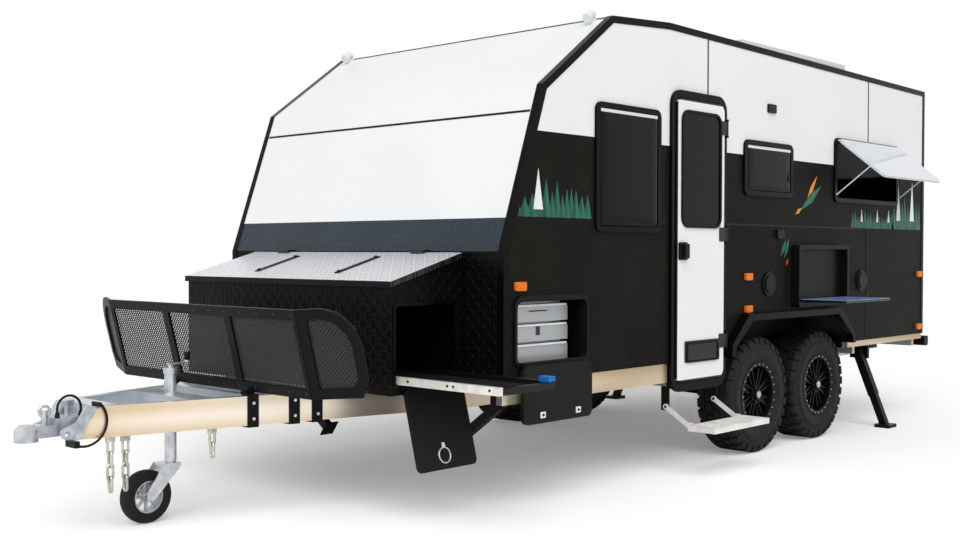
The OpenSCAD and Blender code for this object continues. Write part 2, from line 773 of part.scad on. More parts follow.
// Running gear below the frame: hangers, trailing arms, stub axles and air springs
module suspension() {
  arm_y = [rail_y + 70, rail_y + 150];
  spring_y = rail_y + 105;
  stub = wheel_y - tyre_w / 2 + 75;
  color("#3a3b3d") both() for (x = axle_x) {
    pivot = x + 390;
    plate_y(arm_y[0], arm_y[1])
      polygon([[x - 60, tyre_r - 45], [pivot, 425], [pivot, 500], [x - 60, tyre_r + 45]]);
    translate([x, arm_y[0] + 5, tyre_r]) rotate([-90, 0, 0]) cylinder(h = stub - arm_y[0] - 5, r = 32);
    box([pivot - 50, pivot + 50], [rail_y, arm_y[1] + 10], [500, rail_top - 62]);
    box([x - 80, x + 80], [rail_y, arm_y[1]], [rail_top - 20, rail_top]);
    translate([x + 20, spring_y, tyre_r + 30]) cylinder(h = rail_top - 20 - tyre_r - 30, r = 34);
    for (z = [0:3]) translate([x + 20, spring_y, tyre_r + 62 + z * 42]) rotate_extrude()
      translate([34, 0]) circle(14);
  }
}

module leg_frame(side) {
  mirror([0, side < 0 ? 1 : 0, 0]) translate(rear_leg) rotate([leg_splay, 0, 0]) children();
}

// Leg brackets, the rear legs' outer tubes and the step's hangers
module underbody_brackets() {
  bore = rear_leg_tube - 2 * rear_leg_wall;
  color("#1f2022") {
    for (s = [-1, 1]) leg_frame(s) difference() {
      translate([-rear_leg_tube / 2, -rear_leg_tube / 2, -400]) cube([rear_leg_tube, rear_leg_tube, 380]);
      translate([-bore / 2, -bore / 2, -405]) cube([bore, bore, 370]);
    }
    both() {
      box([rear_leg[0] - 60, rear_leg[0] - 31], [rear_leg[1] - 70, skirt_y - skirt_t],
        [rear_leg[2] - 90, rail_top]);
      box([rear_leg[0] - 34, rear_leg[0] + 34], [rear_leg[1] - 70, rear_leg[1] + 60],
        [rear_leg[2] + 12, rail_top]);
      for (d = [-1, 1]) translate([front_leg[0] + d * 44, 0, 0])
        box([-8, 8], [front_leg[1] - 45, front_leg[1] + 45], [front_leg[2] - 30, rail_top]);
      translate([front_leg[0] - 44, front_leg[1], front_leg[2]]) rotate([0, 90, 0])
        cylinder(h = 88, r = 9);
    }
    for (x = [step_x[0] + 30, step_x[1] - 60]) {
      box([x, x + 8], [step_pivot[0] - 45, in_y - 1], [step_pivot[1] - 25, leaf_z[0] - 25]);
      translate([x, step_pivot[0], step_pivot[1]]) rotate([0, 90, 0]) cylinder(h = 30, r = 8);
    }
  }
}

module rear_bumper() {
  color("#2a2b2d") {
    both() box([-bumper_back + 80, 0], [rail_y - rail_t, rail_y], [rail_z + 30, rail_top]);
    plate_y(70 - half_w, half_w - 70)
      rounded(-bumper_back, -bumper_back + 80, rail_z + 70, rail_top + 5, 22);
  }
}

// Low roof unit with rounded sides, on a foot that follows the roof
module air_conditioner() {
  x = [980, 2520];
  y = [half_w - 850, half_w - 200];
  h = 125;
  // thickness of the sealing strip under the unit
  seal = 0.4;
  base = rear_roof_at(x[1]) + seal;
  side = [[60, 0], [8, 45], [0, 72], [18, 105], [75, h]];
  color("#dfe2e2") {
    intersection() {
      translate([x[0], 0, base]) upright(x[1] - x[0]) polygon(concat([for (p = side) [y[0] + p[0], p[1]]],
        [for (i = [4:-1:0]) [y[1] - side[i][0], side[i][1]]]));
      translate([0, 0, base - 1]) linear_extrude(h + 2) rounded(x[0], x[1], y[0], y[1], 120);
    }
    plate_y(y[0] + 80, y[1] - 80) polygon([[x[0] + 140, rear_roof_at(x[0] + 140) + seal],
      [x[1] - 140, rear_roof_at(x[1] - 140) + seal], [x[1] - 140, base + 8], [x[0] + 140, base + 8]]);
  }
}

// Wheels: drawn about their own axle along Y, outer side at positive Y

module tyre() {
  r = tyre_r;
  h = tyre_w / 2;
  color("#1e1e1f") rotate([-90, 0, 0]) rotate_extrude($fn = 96)
    polygon([[215, -h + 22], [300, -h], [r - 40, -h + 3], [r - 9, -h + 14], [r, -h + 38],
      [r, h - 38], [r - 9, h - 14], [r - 40, h - 3], [300, h], [215, h - 22]]);
}

module rim() {
  h = tyre_w / 2;
  color("#1b1b1d") rotate([-90, 0, 0]) {
    rotate_extrude($fn = 72) polygon([[205, -h + 22], [215, -h + 22], [215, h - 22], [222, h - 20],
      [222, h - 8], [196, h - 12], [192, h - 40], [205, h - 60]]);
    difference() {
      translate([0, 0, h - 72]) cylinder(h = 26, r = 206, $fn = 72);
      for (i = [0:spoke_count - 1]) rotate([0, 0, i * 360 / spoke_count]) translate([0, 0, h - 80])
        linear_extrude(50) polygon([[92, -14], [178, -44], [186, 0], [178, 44], [92, 14]]);
    }
    difference() {
      translate([0, 0, -h + 8]) cylinder(h = h + h - 78, r = 140);
      translate([0, 0, -h]) cylinder(h = 90, r = 32 + fit);
    }
    translate([0, 0, h - 50]) cylinder(h = 26, r = 62);
    translate([0, 0, h - 26]) cylinder(h = 14, r = 38);
  }
}

module wheel_place(axle, side) {
  mirror([0, side < 0 ? 1 : 0, 0]) translate([axle_x[axle], wheel_y, tyre_r]) children();
}

// Entry door: leaf with its lower vent, window and handle

module door_leaf() {
  color("#e9ebea") {
    plate_y(leaf_y[0], leaf_y[1]) difference() {
      rounded(leaf_x[0], leaf_x[1], leaf_z[0], leaf_z[1], 58);
      window_shape(pane, 0);
    }
    plate_y(leaf_y[1], leaf_y[1] + 8)
      rounded(leaf_x[0] + 60, leaf_x[1] - 90, leaf_z[0] + 117, leaf_z[0] + 253, 12);
    for (z = hinge_z) difference() {
      union() {
        translate([door_axis[0], door_axis[1], z]) cylinder(h = 90, r = 9);
        box([door_axis[0], leaf_x[0] + 60], [leaf_y[1], leaf_y[1] + 6], [z, z + 90]);
      }
      translate([door_axis[0], door_axis[1], z - 1]) cylinder(h = 92, r = 5 + fit);
    }
  }
}

module door_pane() {
  color("#343b42") plate_y(leaf_y[0] + 8, leaf_y[1] + 4) window_shape(pane, 0);
}

module door_handle() {
  x = leaf_x[1] - 45;
  z = pane[W_Z0] - 220;
  color("#202124") {
    plate_y(leaf_y[1], leaf_y[1] + 12) rounded(x - 62, x + 28, z, z + 112, 14);
    plate_y(leaf_y[1] + 12, leaf_y[1] + 34) rounded(x - 50, x - 4, z + 10, z + 102, 10);
  }
}

module box_lid() {
  x = [box_x + 24, box_x + box_l + 14];
  z = box_rear_z - 24 * box_slope + gap;
  drop = (x[1] - x[0]) * box_slope;
  color("#c4c8ca") difference() {
    union() {
      plate_y(-box_y - 14, box_y + 14)
        polygon([[x[0], z], [x[0], z + 30], [x[1], z + 30 - drop], [x[1], z - drop]]);
      for (y = lid_hinges) {
        translate([lid_axis[0], y, lid_axis[1]]) rotate([-90, 0, 0]) cylinder(h = 100, r = 9);
        box([lid_axis[0], x[0] + 30], [y, y + 100], [lid_axis[1] + 3, lid_axis[1] + 9]);
        box([x[0], x[0] + 30], [y, y + 100], [z + 5, lid_axis[1] + 9]);
      }
    }
    translate([lid_axis[0], -box_y, lid_axis[1]]) rotate([-90, 0, 0]) cylinder(h = 2 * box_y, r = 5 + fit);
  }
}

// The galley hatch's door, hanging open from its lower edge
module galley_door() {
  x = [galley_x[0] + 20 + gap, galley_x[1] - 20 - gap];
  len = galley_z[1] - 32 - gap - galley_axis[1];
  color("#232427") difference() {
    union() {
      plate_y(galley_axis[0] + 8, galley_axis[0] + 32)
        rounded(x[0], x[1], galley_axis[1] - len, galley_axis[1] - 10, galley_r);
      translate([x[0] + 30, galley_axis[0], galley_axis[1]]) rotate([0, 90, 0])
        cylinder(h = x[1] - x[0] - 60, r = 7);
      box([x[0] + 30, x[1] - 30], [galley_axis[0], galley_axis[0] + 12],
        [galley_axis[1] - 14, galley_axis[1] - 3]);
    }
    translate([x[0], galley_axis[0], galley_axis[1]]) rotate([0, 90, 0])
      cylinder(h = x[1] - x[0], r = 4 + fit);
  }
}

module tray() {
  x = [hatch_x[0] + 12, hatch_x[1] - 12];
  z = hatch_z[0] + gap;
  y = [tray_out - 1100, tray_out];
  color("#9b9da0") {
    for (r = [x[0], x[1] - 30]) box([r, r + 30], y, [z, z + 40]);
    box(x, [y[1] - 34, y[1]], [z, z + 34]);
    box(x, y, [z + 6, z + 12]);
    box(x, [y[0], y[0] + 30], [z, z + 34]);
    box([x[0] - 2, x[0] + 40], [y[1] - 60, y[1] - 6], [z + 36, z + 62]);
  }
}

module step_arms() {
  d = step_end - step_pivot;
  color("#2a2b2d") for (x = [step_x[0] + 44, step_x[1] - 46]) translate([x, 0, 0]) upright(12) difference() {
    union() {
      for (p = [step_pivot, step_end]) translate(p) circle(18);
      translate(step_pivot) rotate(atan2(d[1], d[0])) translate([0, -14]) square([norm(d), 28]);
    }
    for (p = [step_pivot, step_end]) translate(p) circle(8 + fit);
  }
}

module step_tread() {
  y = [step_end[0] + 26, step_end[0] + 220];
  color("#b9bcbd") {
    difference() {
      box(step_x, y, [step_end[1] - 30, step_end[1] + 5]);
      box([step_x[0] + 25, step_x[1] - 25], [y[0] + 22, y[1] - 22], [step_end[1] - 40, step_end[1] - 4]);
    }
    for (x = [step_x[0] + 30, step_x[1] - 60]) {
      box([x, x + 8], [step_end[0] - 14, y[0] + 4], [step_end[1] - 14, step_end[1] + 14]);
      translate([x, step_end[0], step_end[1]]) rotate([0, 90, 0]) cylinder(h = 30, r = 8);
    }
  }
}

module jockey_fork() {
  color("#b5b8ba") {
    translate([jack_x, 0, 280]) cylinder(h = rail_top - 220, r = 26 - fit);
    box([jack_x - 30, jack_x + 70], [-54, 54], [276, 294]);
    for (s = [-54, 46]) plate_y(s, s + 8) polygon([[jack_x - 30, 294], [jack_x - 30, 276],
      [jockey_x - 24, jockey_r - 10], [jockey_x + 20, jockey_r - 20], [jockey_x + 24, jockey_r + 24],
      [jack_x + 70, 294]]);
    translate([jockey_x, -54, jockey_r]) rotate([-90, 0, 0]) cylinder(h = 108, r = 9);
  }
}

module jockey_tyre() {
  color("#232324") translate([jockey_x, 0, jockey_r]) rotate([90, 0, 0]) rotate_extrude($fn = 72)
    polygon([[82, -34], [120, -36], [131, -28], [jockey_r, -12], [jockey_r, 12], [131, 28], [120, 36],
      [82, 34]]);
}

module jockey_rim() {
  color("#a9acae") translate([jockey_x, 0, jockey_r]) rotate([90, 0, 0]) difference() {
    union() {
      difference() {
        translate([0, 0, -30]) cylinder(h = 60, r = 82);
        translate([0, 0, -35]) cylinder(h = 70, r = 74);
      }
      translate([0, 0, -34]) cylinder(h = 68, r = 24);
      for (i = [0:7]) rotate([0, 0, i * 45]) translate([15, -6, -9]) cube([62, 12, 18]);
    }
    translate([0, 0, -50]) cylinder(h = 100, r = 9 + fit);
  }
}

// Front leg: folded inward, hangs from its pivot
module front_leg(side) {
  color("#242528") mirror([0, side < 0 ? 1 : 0, 0]) translate(front_leg) difference() {
    union() {
      rotate([front_leg_drop - 90, 0, 0]) {
        translate([-25, -25, -front_leg_len]) cube([50, 50, front_leg_len + 25]);
        translate([-50, -50, -front_leg_len - 6]) cube([100, 100, 8]);
      }
    }
    translate([-60, 0, 0]) rotate([0, 90, 0]) cylinder(h = 120, r = 9 + fit);
  }
}

// Rear leg: the inner tube with its foot, which stands on the ground
module rear_leg(side) {
  t = rear_leg_tube - 2 * rear_leg_wall - 2 * fit;
  color("#55585b") {
    leg_frame(side) translate([-t / 2, -t / 2, -rear_leg_len + 14]) cube([t, t, rear_leg_len - 254]);
    mirror([0, side < 0 ? 1 : 0, 0])
      translate([rear_leg[0], rear_leg[1] + rear_leg[2] * tan(leg_splay), 0])
        translate([-70, -foot_half, 0]) cube([140, 2 * foot_half, 26]);
  }
}

placed() drawbar_rails();
placed() main_rails();
placed() cross_members();
placed() coupling();
placed() brake_cables();
placed() safety_chains();
placed() jack_tube();
placed() guard_frame();
placed() guard_mesh();
placed() front_box();
placed() front_hatch_door();
placed() floor_panel();  // floor
placed() wheel_wells();
placed() wall_left();
placed() wall_right();
placed() nose_low();
placed() nose_mid();
placed() nose_top();
placed() roof();
placed() rear_wall();
placed() edge_trim();
placed() door_frame();
placed() window_frames();
placed() window_panes();
placed() open_sash();
placed() galley_frame();
placed() galley_drawers();
placed() table_frame();
placed() wall_fittings();
placed() lamps();
placed() mudguards();
placed() suspension();
placed() underbody_brackets();
placed() rear_bumper();
placed() air_conditioner();
placed() wheel_place(0, 1) tyre();  // tyre_fl
placed() wheel_place(0, 1) rim();  // rim_fl
placed() wheel_place(0, -1) tyre();  // tyre_fr
placed() wheel_place(0, -1) rim();  // rim_fr
placed() wheel_place(1, 1) tyre();  // tyre_rl
placed() wheel_place(1, 1) rim();  // rim_rl
placed() wheel_place(1, -1) tyre();  // tyre_rr
placed() wheel_place(1, -1) rim();  // rim_rr
placed() door_leaf();
placed() door_pane();
placed() door_handle();
placed() box_lid();
placed() galley_door();
placed() tray();
placed() table_leaf();
placed() step_arms();
placed() step_tread();
placed() jockey_fork();
placed() jockey_tyre();
placed() jockey_rim();
placed() front_leg(1);  // front_leg_l
placed() front_leg(-1);  // front_leg_r
placed() rear_leg(1);  // rear_leg_l
placed() rear_leg(-1);  // rear_leg_r
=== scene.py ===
import math
import random

import bmesh
import bpy
from bpy.props import FloatProperty, FloatVectorProperty, IntProperty, PointerProperty
from mathutils import Matrix, Vector


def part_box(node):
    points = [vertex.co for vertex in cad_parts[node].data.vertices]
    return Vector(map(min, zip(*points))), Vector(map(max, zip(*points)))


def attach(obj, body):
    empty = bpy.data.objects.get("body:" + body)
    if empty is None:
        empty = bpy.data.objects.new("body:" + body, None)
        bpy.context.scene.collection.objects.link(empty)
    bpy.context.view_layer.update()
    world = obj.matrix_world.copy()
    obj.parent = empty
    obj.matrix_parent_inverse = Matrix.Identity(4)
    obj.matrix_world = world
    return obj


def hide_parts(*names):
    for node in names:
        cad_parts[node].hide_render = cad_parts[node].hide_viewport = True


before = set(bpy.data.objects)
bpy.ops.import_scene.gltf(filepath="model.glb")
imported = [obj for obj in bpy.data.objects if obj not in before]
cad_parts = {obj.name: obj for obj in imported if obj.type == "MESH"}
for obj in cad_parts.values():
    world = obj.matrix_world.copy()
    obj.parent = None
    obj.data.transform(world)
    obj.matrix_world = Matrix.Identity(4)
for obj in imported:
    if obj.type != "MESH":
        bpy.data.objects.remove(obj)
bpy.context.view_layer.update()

bl_info = {
    "name": "Travel trailer",
    "version": (1, 0, 0),
    "blender": (4, 5, 0),
    "location": "View3D > Sidebar > Trailer",
    "description": "Finishes, fittings and stage for an off-road travel trailer",
    "category": "Object",
}

MM = 0.001

# Where the trailer's own stations lie in the frame: X from the rear wall, Y from the middle,
# Z from the ground
REAR_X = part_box("rear_wall")[0][0]
SIDE_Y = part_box("wall_left")[1][1]
MIDDLE_Y = (SIDE_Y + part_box("wall_right")[0][1]) / 2
HALF_W = SIDE_Y - MIDDLE_Y
DOOR_FACE = SIDE_Y + 28 * MM  # the entry door's outer face
TYRE_R = (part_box("tyre_fl")[1][2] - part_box("tyre_fl")[0][2]) / 2
TYRE_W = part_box("tyre_fl")[1][1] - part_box("tyre_fl")[0][1]
WHEELS = ("fl", "fr", "rl", "rr")

# Stations in millimetres
WALL = HALF_W / MM  # the side walls' faces, from the middle
ROLLED_TO, WHITE_FROM = 1564, 2035  # heights where the rolled sheet ends and the white sheet begins
BROW_TO = 1562  # height where the nose's dark foot ends
ROOF_LAMPS_FROM = 2600  # height that only the roof's lamps pass
TAN_TO, CREAM_FROM = 4300, 6000  # rails' painted ground light: where tan begins to turn to cream, and where it has
NOSE_TOP, NOSE_KNEE, NOSE_FOOT = (4437, 2744), (5060, 2289), (5373, 1383)  # the nose's profile, X and Z

OUT = Vector((0, 1, 0))
WARM_CAST, PAINTED_BLUE_SHEEN = (3.0, 2.9, 2.3), (4.4, 7.0, 11.0)  # the dark sheet's colour is multiplied by these; the second is a painted bluish sheen


def at(x, y, z):
    """A point in the frame from stations in millimetres."""
    return Vector((REAR_X + x * MM, MIDDLE_Y + y * MM, z * MM))


def corners(node):
    """The lowest and highest corner of a node of the frame, at rest."""
    return [Vector(corner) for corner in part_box(node)]


# Materials


def linear(hex_code):
    """Linear RGBA from an sRGB hex colour."""
    parts = [int(hex_code[i:i + 2], 16) / 255 for i in (1, 3, 5)]
    return [c / 12.92 if c <= 0.04045 else ((c + 0.055) / 1.055) ** 2.4 for c in parts] + [1.0]


def tones(colour, *shares):
    """A linear colour made darker or lighter, once for each share."""
    return [[c * share for c in colour[:3]] + [1.0] for share in shares]


def feed(node, inputs):
    """Gives sockets of a node, by name or in order, a number, a colour or what feeds each."""
    for key, value in inputs.items() if isinstance(inputs, dict) else enumerate(inputs):
        if isinstance(value, bpy.types.Node):
            value = next(socket for socket in value.outputs if socket.enabled)
        if isinstance(value, bpy.types.NodeSocket):
            node.id_data.links.new(value, node.inputs[key])
        else:
            node.inputs[key].default_value = linear(value) if isinstance(value, str) else value


def add(tree, kind, inputs=(), **settings):
    """One shader node, with its settings and what feeds its sockets.
    A Math node's kind ends with its operation."""
    kind, _, operation = kind.partition(" ")
    made = tree.nodes.new("ShaderNode" + kind)
    if operation:
        settings["operation"] = operation
    for name, value in settings.items():
        setattr(made, name, value)
    feed(made, inputs)
    return made


def new_material(name, colour, roughness, metallic=0.0, gloss=0.5):
    """A material with one Principled shader, its tree, its shader and the frame's coordinates in metres."""
    made = bpy.data.materials.new(name)
    made.use_nodes = True
    tree = made.node_tree
    shader = tree.nodes["Principled BSDF"]
    feed(shader, {"Base Color": colour, "Roughness": roughness, "Metallic": metallic,
                  "Specular IOR Level": gloss})
    return made, tree, shader, add(tree, "TexCoord").outputs["Object"]


def uneven(tree, where, grain_mm, dark, light, detail=4.0, rough=None):
    """A colour that drifts between two values with soft noise of that grain size. Roughness may drift too."""
    noise = add(tree, "TexNoise", {"Vector": where, "Scale": 1 / (grain_mm * MM), "Detail": detail})
    if rough:
        level = add(tree, "MapRange", {"Value": noise, "To Min": rough[0], "To Max": rough[1]})
        feed(tree.nodes["Principled BSDF"], {"Roughness": level})
    spread = add(tree, "MapRange", {"Value": noise, "From Min": 0.3, "From Max": 0.7})
    return add(tree, "Mix", {"Factor": spread, "A": dark, "B": light}, data_type="RGBA")


def parted(tree, shader, value, limit, below, above):
    """Paints one colour below a limit of the value and another above it; gives the mask that parts them."""
    mask = add(tree, "Math GREATER_THAN", [value, limit])
    feed(shader, {"Base Color": add(tree, "Mix", {"Factor": mask, "A": below, "B": above}, data_type="RGBA")})
    return mask


def lozenges(tree, across, up, pitch_mm):
    """Height of a rolled tread pattern: lozenges that lie alternately along the two diagonals."""
    wholes, parts = [], []
    for coordinate in (across, up):
        scaled = add(tree, "Math DIVIDE", [coordinate, pitch_mm * MM])
        wholes.append(add(tree, "Math FLOOR", [scaled]))
        share = add(tree, "Math FRACT", [scaled])
        parts.append(add(tree, "Math SUBTRACT", [share, 0.5]))
    cell = add(tree, "Math ADD", [wholes[0], wholes[1]])
    odd = add(tree, "Math FLOORED_MODULO", [cell, 2.0])
    turn = add(tree, "Math MULTIPLY_ADD", [odd, 2.0, -1.0])
    tilted = add(tree, "Math MULTIPLY", [parts[1], turn])
    reach = []
    for operation, half in (("ADD", 0.82), ("SUBTRACT", 0.26)):
        run = add(tree, "Math " + operation, [parts[0], tilted])
        share = add(tree, "Math DIVIDE", [run, half])
        reach.append(add(tree, "Math MULTIPLY", [share, share]))
    edge = add(tree, "Math ADD", [reach[0], reach[1]])
    return add(tree, "MapRange", {"Value": edge, "From Min": 1.0, "From Max": 0.45})


def gel_coat(tree, where):
    """The white sheet's colour, which drifts a little."""
    return uneven(tree, where, 900, *tones(sizes().white_sheet, 0.97, 1.02))


def cladding(name, across_axis, white_from_mm, rolled_to_mm, gloss, cast):
    """Composite sheet, rolled: gloss white above, satin black below it, and tread-rolled black below that.
    The white takes clear soft-box reflections, the black a low sheen, and the rolled part small glints.
    The lozenges are drawn half as large again as real ones, so that they show."""
    made, tree, shader, where = new_material(name, sizes().white_sheet, 0.36, gloss=gloss)
    place = add(tree, "SeparateXYZ", {"Vector": where}).outputs
    # The cast tints the black; on the nose it lightens and blues it, a painted sheen
    dark = [a * b for a, b in zip(sizes().dark_sheet, cast)]
    black = uneven(tree, where, 450, *tones(dark, 0.75, 1.25))
    parted(tree, shader, place["Z"], white_from_mm * MM, black, gel_coat(tree, where))
    rolled = add(tree, "Math LESS_THAN", [place["Z"], rolled_to_mm * MM])
    height = lozenges(tree, place[across_axis], place["Z"], 40)
    relief = add(tree, "Math MULTIPLY", [height, rolled])
    feed(shader, {"Normal": add(tree, "Bump", {"Height": relief, "Distance": 3 * MM})})
    return made


def rolled_black(name):
    """Tread-rolled aluminium under black paint: low sheen with a glint on each lozenge, on sides
    and top alike. The lozenges are as large as on the walls."""
    made, tree, shader, where = new_material(name, sizes().dark_sheet, 0.3, gloss=0.07)
    place = add(tree, "SeparateXYZ", {"Vector": where}).outputs
    across = add(tree, "Math ADD", [place["X"], place["Y"]])
    height = lozenges(tree, across, place["Z"], 40)
    feed(shader, {"Base Color": uneven(tree, where, 450, *tones(sizes().dark_sheet, 0.7, 1.2)),
                  "Normal": add(tree, "Bump", {"Height": height, "Distance": 3 * MM})})
    return made


def door_sheet(name, seal_mm):
    """Gel-coated sheet with a rubber seal round its edge: clean white inside, dull black on the seal and on
    the hinges and the vent, which stand proud of the face."""
    made, tree, shader, where = new_material(name, sizes().white_sheet, 0.28, gloss=0.3)
    place = add(tree, "SeparateXYZ", {"Vector": where}).outputs
    low, high = corners("door_leaf")
    inside = add(tree, "Math LESS_THAN", [place["Y"], DOOR_FACE + 0.5 * MM])
    for axis, a, b in (("X", low.x, high.x), ("Z", low.z, high.z)):
        middle = add(tree, "Math SUBTRACT", [place[axis], (a + b) / 2])
        off = add(tree, "Math ABSOLUTE", [middle])
        near = add(tree, "Math LESS_THAN", [off, (b - a) / 2 - seal_mm * MM])
        inside = add(tree, "Math MULTIPLY", [inside, near])
    parted(tree, shader, inside, 0.5, "#0a0a0b", gel_coat(tree, where))
    return made


def table_board(name, edge, top):
    """Laminate on a dark board: a gloss top painted pale blue as a reflection of the sky, black sides and
    underside.
    """
    made, tree, shader, where = new_material(name, edge, 0.18)
    height = add(tree, "SeparateXYZ", {"Vector": where}).outputs["Z"]
    # The top's pale blue is a painted reflection of the sky
    blue = uneven(tree, where, 260, *tones(linear(top), 0.9, 1.1))
    parted(tree, shader, height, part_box("table_leaf")[1][2] - 3 * MM, edge, blue)
    return made


def galvanised_steel(name):
    """Hot-dip galvanised box section: silver within and above; on the outer faces a painted warm reflection
    of the ground, cream that drifts to tan, drawn out along the rail in soft bands."""
    made, tree, shader, where = new_material(name, "#e6d2b6", 0.3, 0.65)
    place = add(tree, "SeparateXYZ", {"Vector": where}).outputs
    drawn = add(tree, "Mapping", {"Vector": where, "Scale": (0.25, 0.25, 2.4)})
    # Painted warm reflection of the ground for the outer faces: pale cream ahead, tan behind
    pale = uneven(tree, drawn, 260, "#dfc7a6", "#fcf0e0", 0.0)
    tan = uneven(tree, drawn, 260, "#c0aa89", "#dccab0", 0.0)
    silver = uneven(tree, where, 240, "#b9bfc6", "#dfe4ea", 1.0, (0.24, 0.38))
    ahead = add(tree, "MapRange", {"Value": place["X"], "From Min": at(TAN_TO, 0, 0).x,
                                   "From Max": at(CREAM_FROM, 0, 0).x})
    painted_ground_light = add(tree, "Mix", {"Factor": ahead, "A": tan, "B": pale}, data_type="RGBA")
    facing = add(tree, "SeparateXYZ", {"Vector": add(tree, "TexCoord").outputs["Normal"]}).outputs
    # Faces that look outward take the painted ground reflection; the rest is silver
    off = add(tree, "Math SUBTRACT", [place["Y"], MIDDLE_Y])
    outward = add(tree, "Math MULTIPLY", [off, facing["Y"]])
    parted(tree, shader, outward, 0.02, silver, painted_ground_light)
    return made


def powder_coat(name, hex_code, roughness):
    """Baked powder on steel: an even black with a faint orange-peel texture."""
    made, tree, shader, where = new_material(name, hex_code, roughness, gloss=0.12)
    grain = add(tree, "TexNoise", {"Vector": where, "Scale": 1 / (3 * MM), "Detail": 2.0})
    feed(shader, {"Normal": add(tree, "Bump", {"Height": grain, "Strength": 0.5, "Distance": 0.25 * MM})})
    return made


def plated_steel(name, dark, light, roughness, metallic=0.75, pebble_mm=0.0):
    """Zinc on steel: bright blue-grey metal that is smooth on plate, with a pebbled skin on a casting."""
    made, tree, shader, where = new_material(name, light, roughness, metallic)
    spread = (roughness - 0.06, roughness + 0.06)
    feed(shader, {"Base Color": uneven(tree, where, 60, dark, light, 1.0, spread)})
    if pebble_mm:
        skin = add(tree, "TexNoise", {"Vector": where, "Scale": 1 / (9 * MM), "Detail": 1.0})
        feed(shader, {"Normal": add(tree, "Bump", {"Height": skin, "Strength": 0.5,
                                                   "Distance": pebble_mm * MM})})
    return made


def slide_steel(name, bright_from):
    """Zinc-plated slide in a black frame: bright satin metal on the slide's side, dull black on the rest."""
    made, tree, shader, where = new_material(name, "#efeeec", 0.36, gloss=0.25)
    along = add(tree, "SeparateXYZ", {"Vector": where}).outputs["X"]
    metal = uneven(tree, where, 60, "#dcd7d0", "#f6f4f0", 1.0)
    slide = parted(tree, shader, along, bright_from, "#0e0e0f", metal)
    feed(shader, {"Metallic": add(tree, "Math MULTIPLY", [slide, 0.35])})
    return made


def tread_plate(name):
    """Aluminium tread plate, mill finish, in a black edge: pale metal with raised lozenges that are painted
    lighter than the plate between, a painted highlight. They are drawn half as large again as real ones, so
    that they show."""
    made, tree, shader, where = new_material(name, "#d5d8dc", 0.34, 0.4)
    place = add(tree, "SeparateXYZ", {"Vector": where}).outputs
    height = lozenges(tree, place["X"], place["Y"], 42)
    # The raised lozenges are painted lighter: a painted highlight
    plate = add(tree, "Mix", {"Factor": height, "A": "#d0d3d8", "B": "#f6f7f9"}, data_type="RGBA")
    facing = add(tree, "SeparateXYZ", {"Vector": add(tree, "TexCoord").outputs["Normal"]}).outputs
    upper = parted(tree, shader, facing["Z"], 0.9, "#0a0a0b", plate)
    feed(shader, {"Metallic": add(tree, "Math MULTIPLY", [upper, 0.4]),
                  "Normal": add(tree, "Bump", {"Height": height, "Distance": 3 * MM})})
    return made


def brushed_steel(name):
    """Stainless sheet brushed along its length: fine streaks and a soft wide highlight. The streaks are drawn
    far wider than real ones, so that they show."""
    made, tree, shader, where = new_material(name, "#b2b6b9", 0.34, 0.5)
    streak_mm = (125, 10 / 3, 2)
    stretch = add(tree, "Mapping", {"Vector": where, "Scale": [1 / (mm * MM) for mm in streak_mm]})
    streaks = add(tree, "TexNoise", {"Vector": stretch, "Scale": 1.0, "Detail": 2.0})
    feed(shader, {"Roughness": add(tree, "MapRange", {"Value": streaks, "To Min": 0.24, "To Max": 0.44})})
    return made


def acrylic_sheet(name, hex_code, gloss):
    """Cast acrylic sheet: deep colour with sharp, slightly waved reflections."""
    made, tree, shader, where = new_material(name, hex_code, 0.07, gloss=gloss)
    waves = add(tree, "TexNoise", {"Vector": where, "Scale": 1 / (250 * MM), "Detail": 1.0})
    feed(shader, {"IOR": 1.49,
                  "Normal": add(tree, "Bump", {"Height": waves, "Strength": 0.25, "Distance": 2 * MM})})
    return made


def moulded_plastic(name, hex_code, roughness, gloss=0.16):
    """Injection-moulded plastic with a fine grained skin."""
    made, tree, shader, where = new_material(name, hex_code, roughness, gloss=gloss)
    grain = add(tree, "TexVoronoi", {"Vector": where, "Scale": 1 / (2.5 * MM)})
    feed(shader, {"Normal": add(tree, "Bump", {"Height": grain, "Strength": 0.4, "Distance": 0.2 * MM})})
    return made


def lamp_lens(name, amber, red, clear):
    """Moulded acrylic lens, ribbed inside: amber on the sides, red on the rear face and clear on the roof."""
    made, tree, shader, where = new_material(name, amber, 0.16, gloss=0.2)
    place = add(tree, "SeparateXYZ", {"Vector": where}).outputs
    behind = add(tree, "Math LESS_THAN", [place["X"], REAR_X])
    low = add(tree, "Mix", {"Factor": behind, "A": amber, "B": red}, data_type="RGBA")
    parted(tree, shader, place["Z"], ROOF_LAMPS_FROM * MM, low, clear)
    wave = add(tree, "Math MULTIPLY", [place["Z"], 2 * math.pi / (7 * MM)])
    ribs = add(tree, "Math SINE", [wave])
    feed(shader, {"Normal": add(tree, "Bump", {"Height": ribs, "Strength": 0.5, "Distance": 0.6 * MM})})
    return made


def plain_drift(name, grain_mm, dark, light, roughness, gloss=0.5):
    """A smooth surface whose colour drifts a little: gel coat, tyre rubber, vinyl or printed film."""
    made, tree, shader, where = new_material(name, light, roughness, gloss=gloss)
    feed(shader, {"Base Color": uneven(tree, where, grain_mm, dark, light)})
    return made


MATERIALS = {}


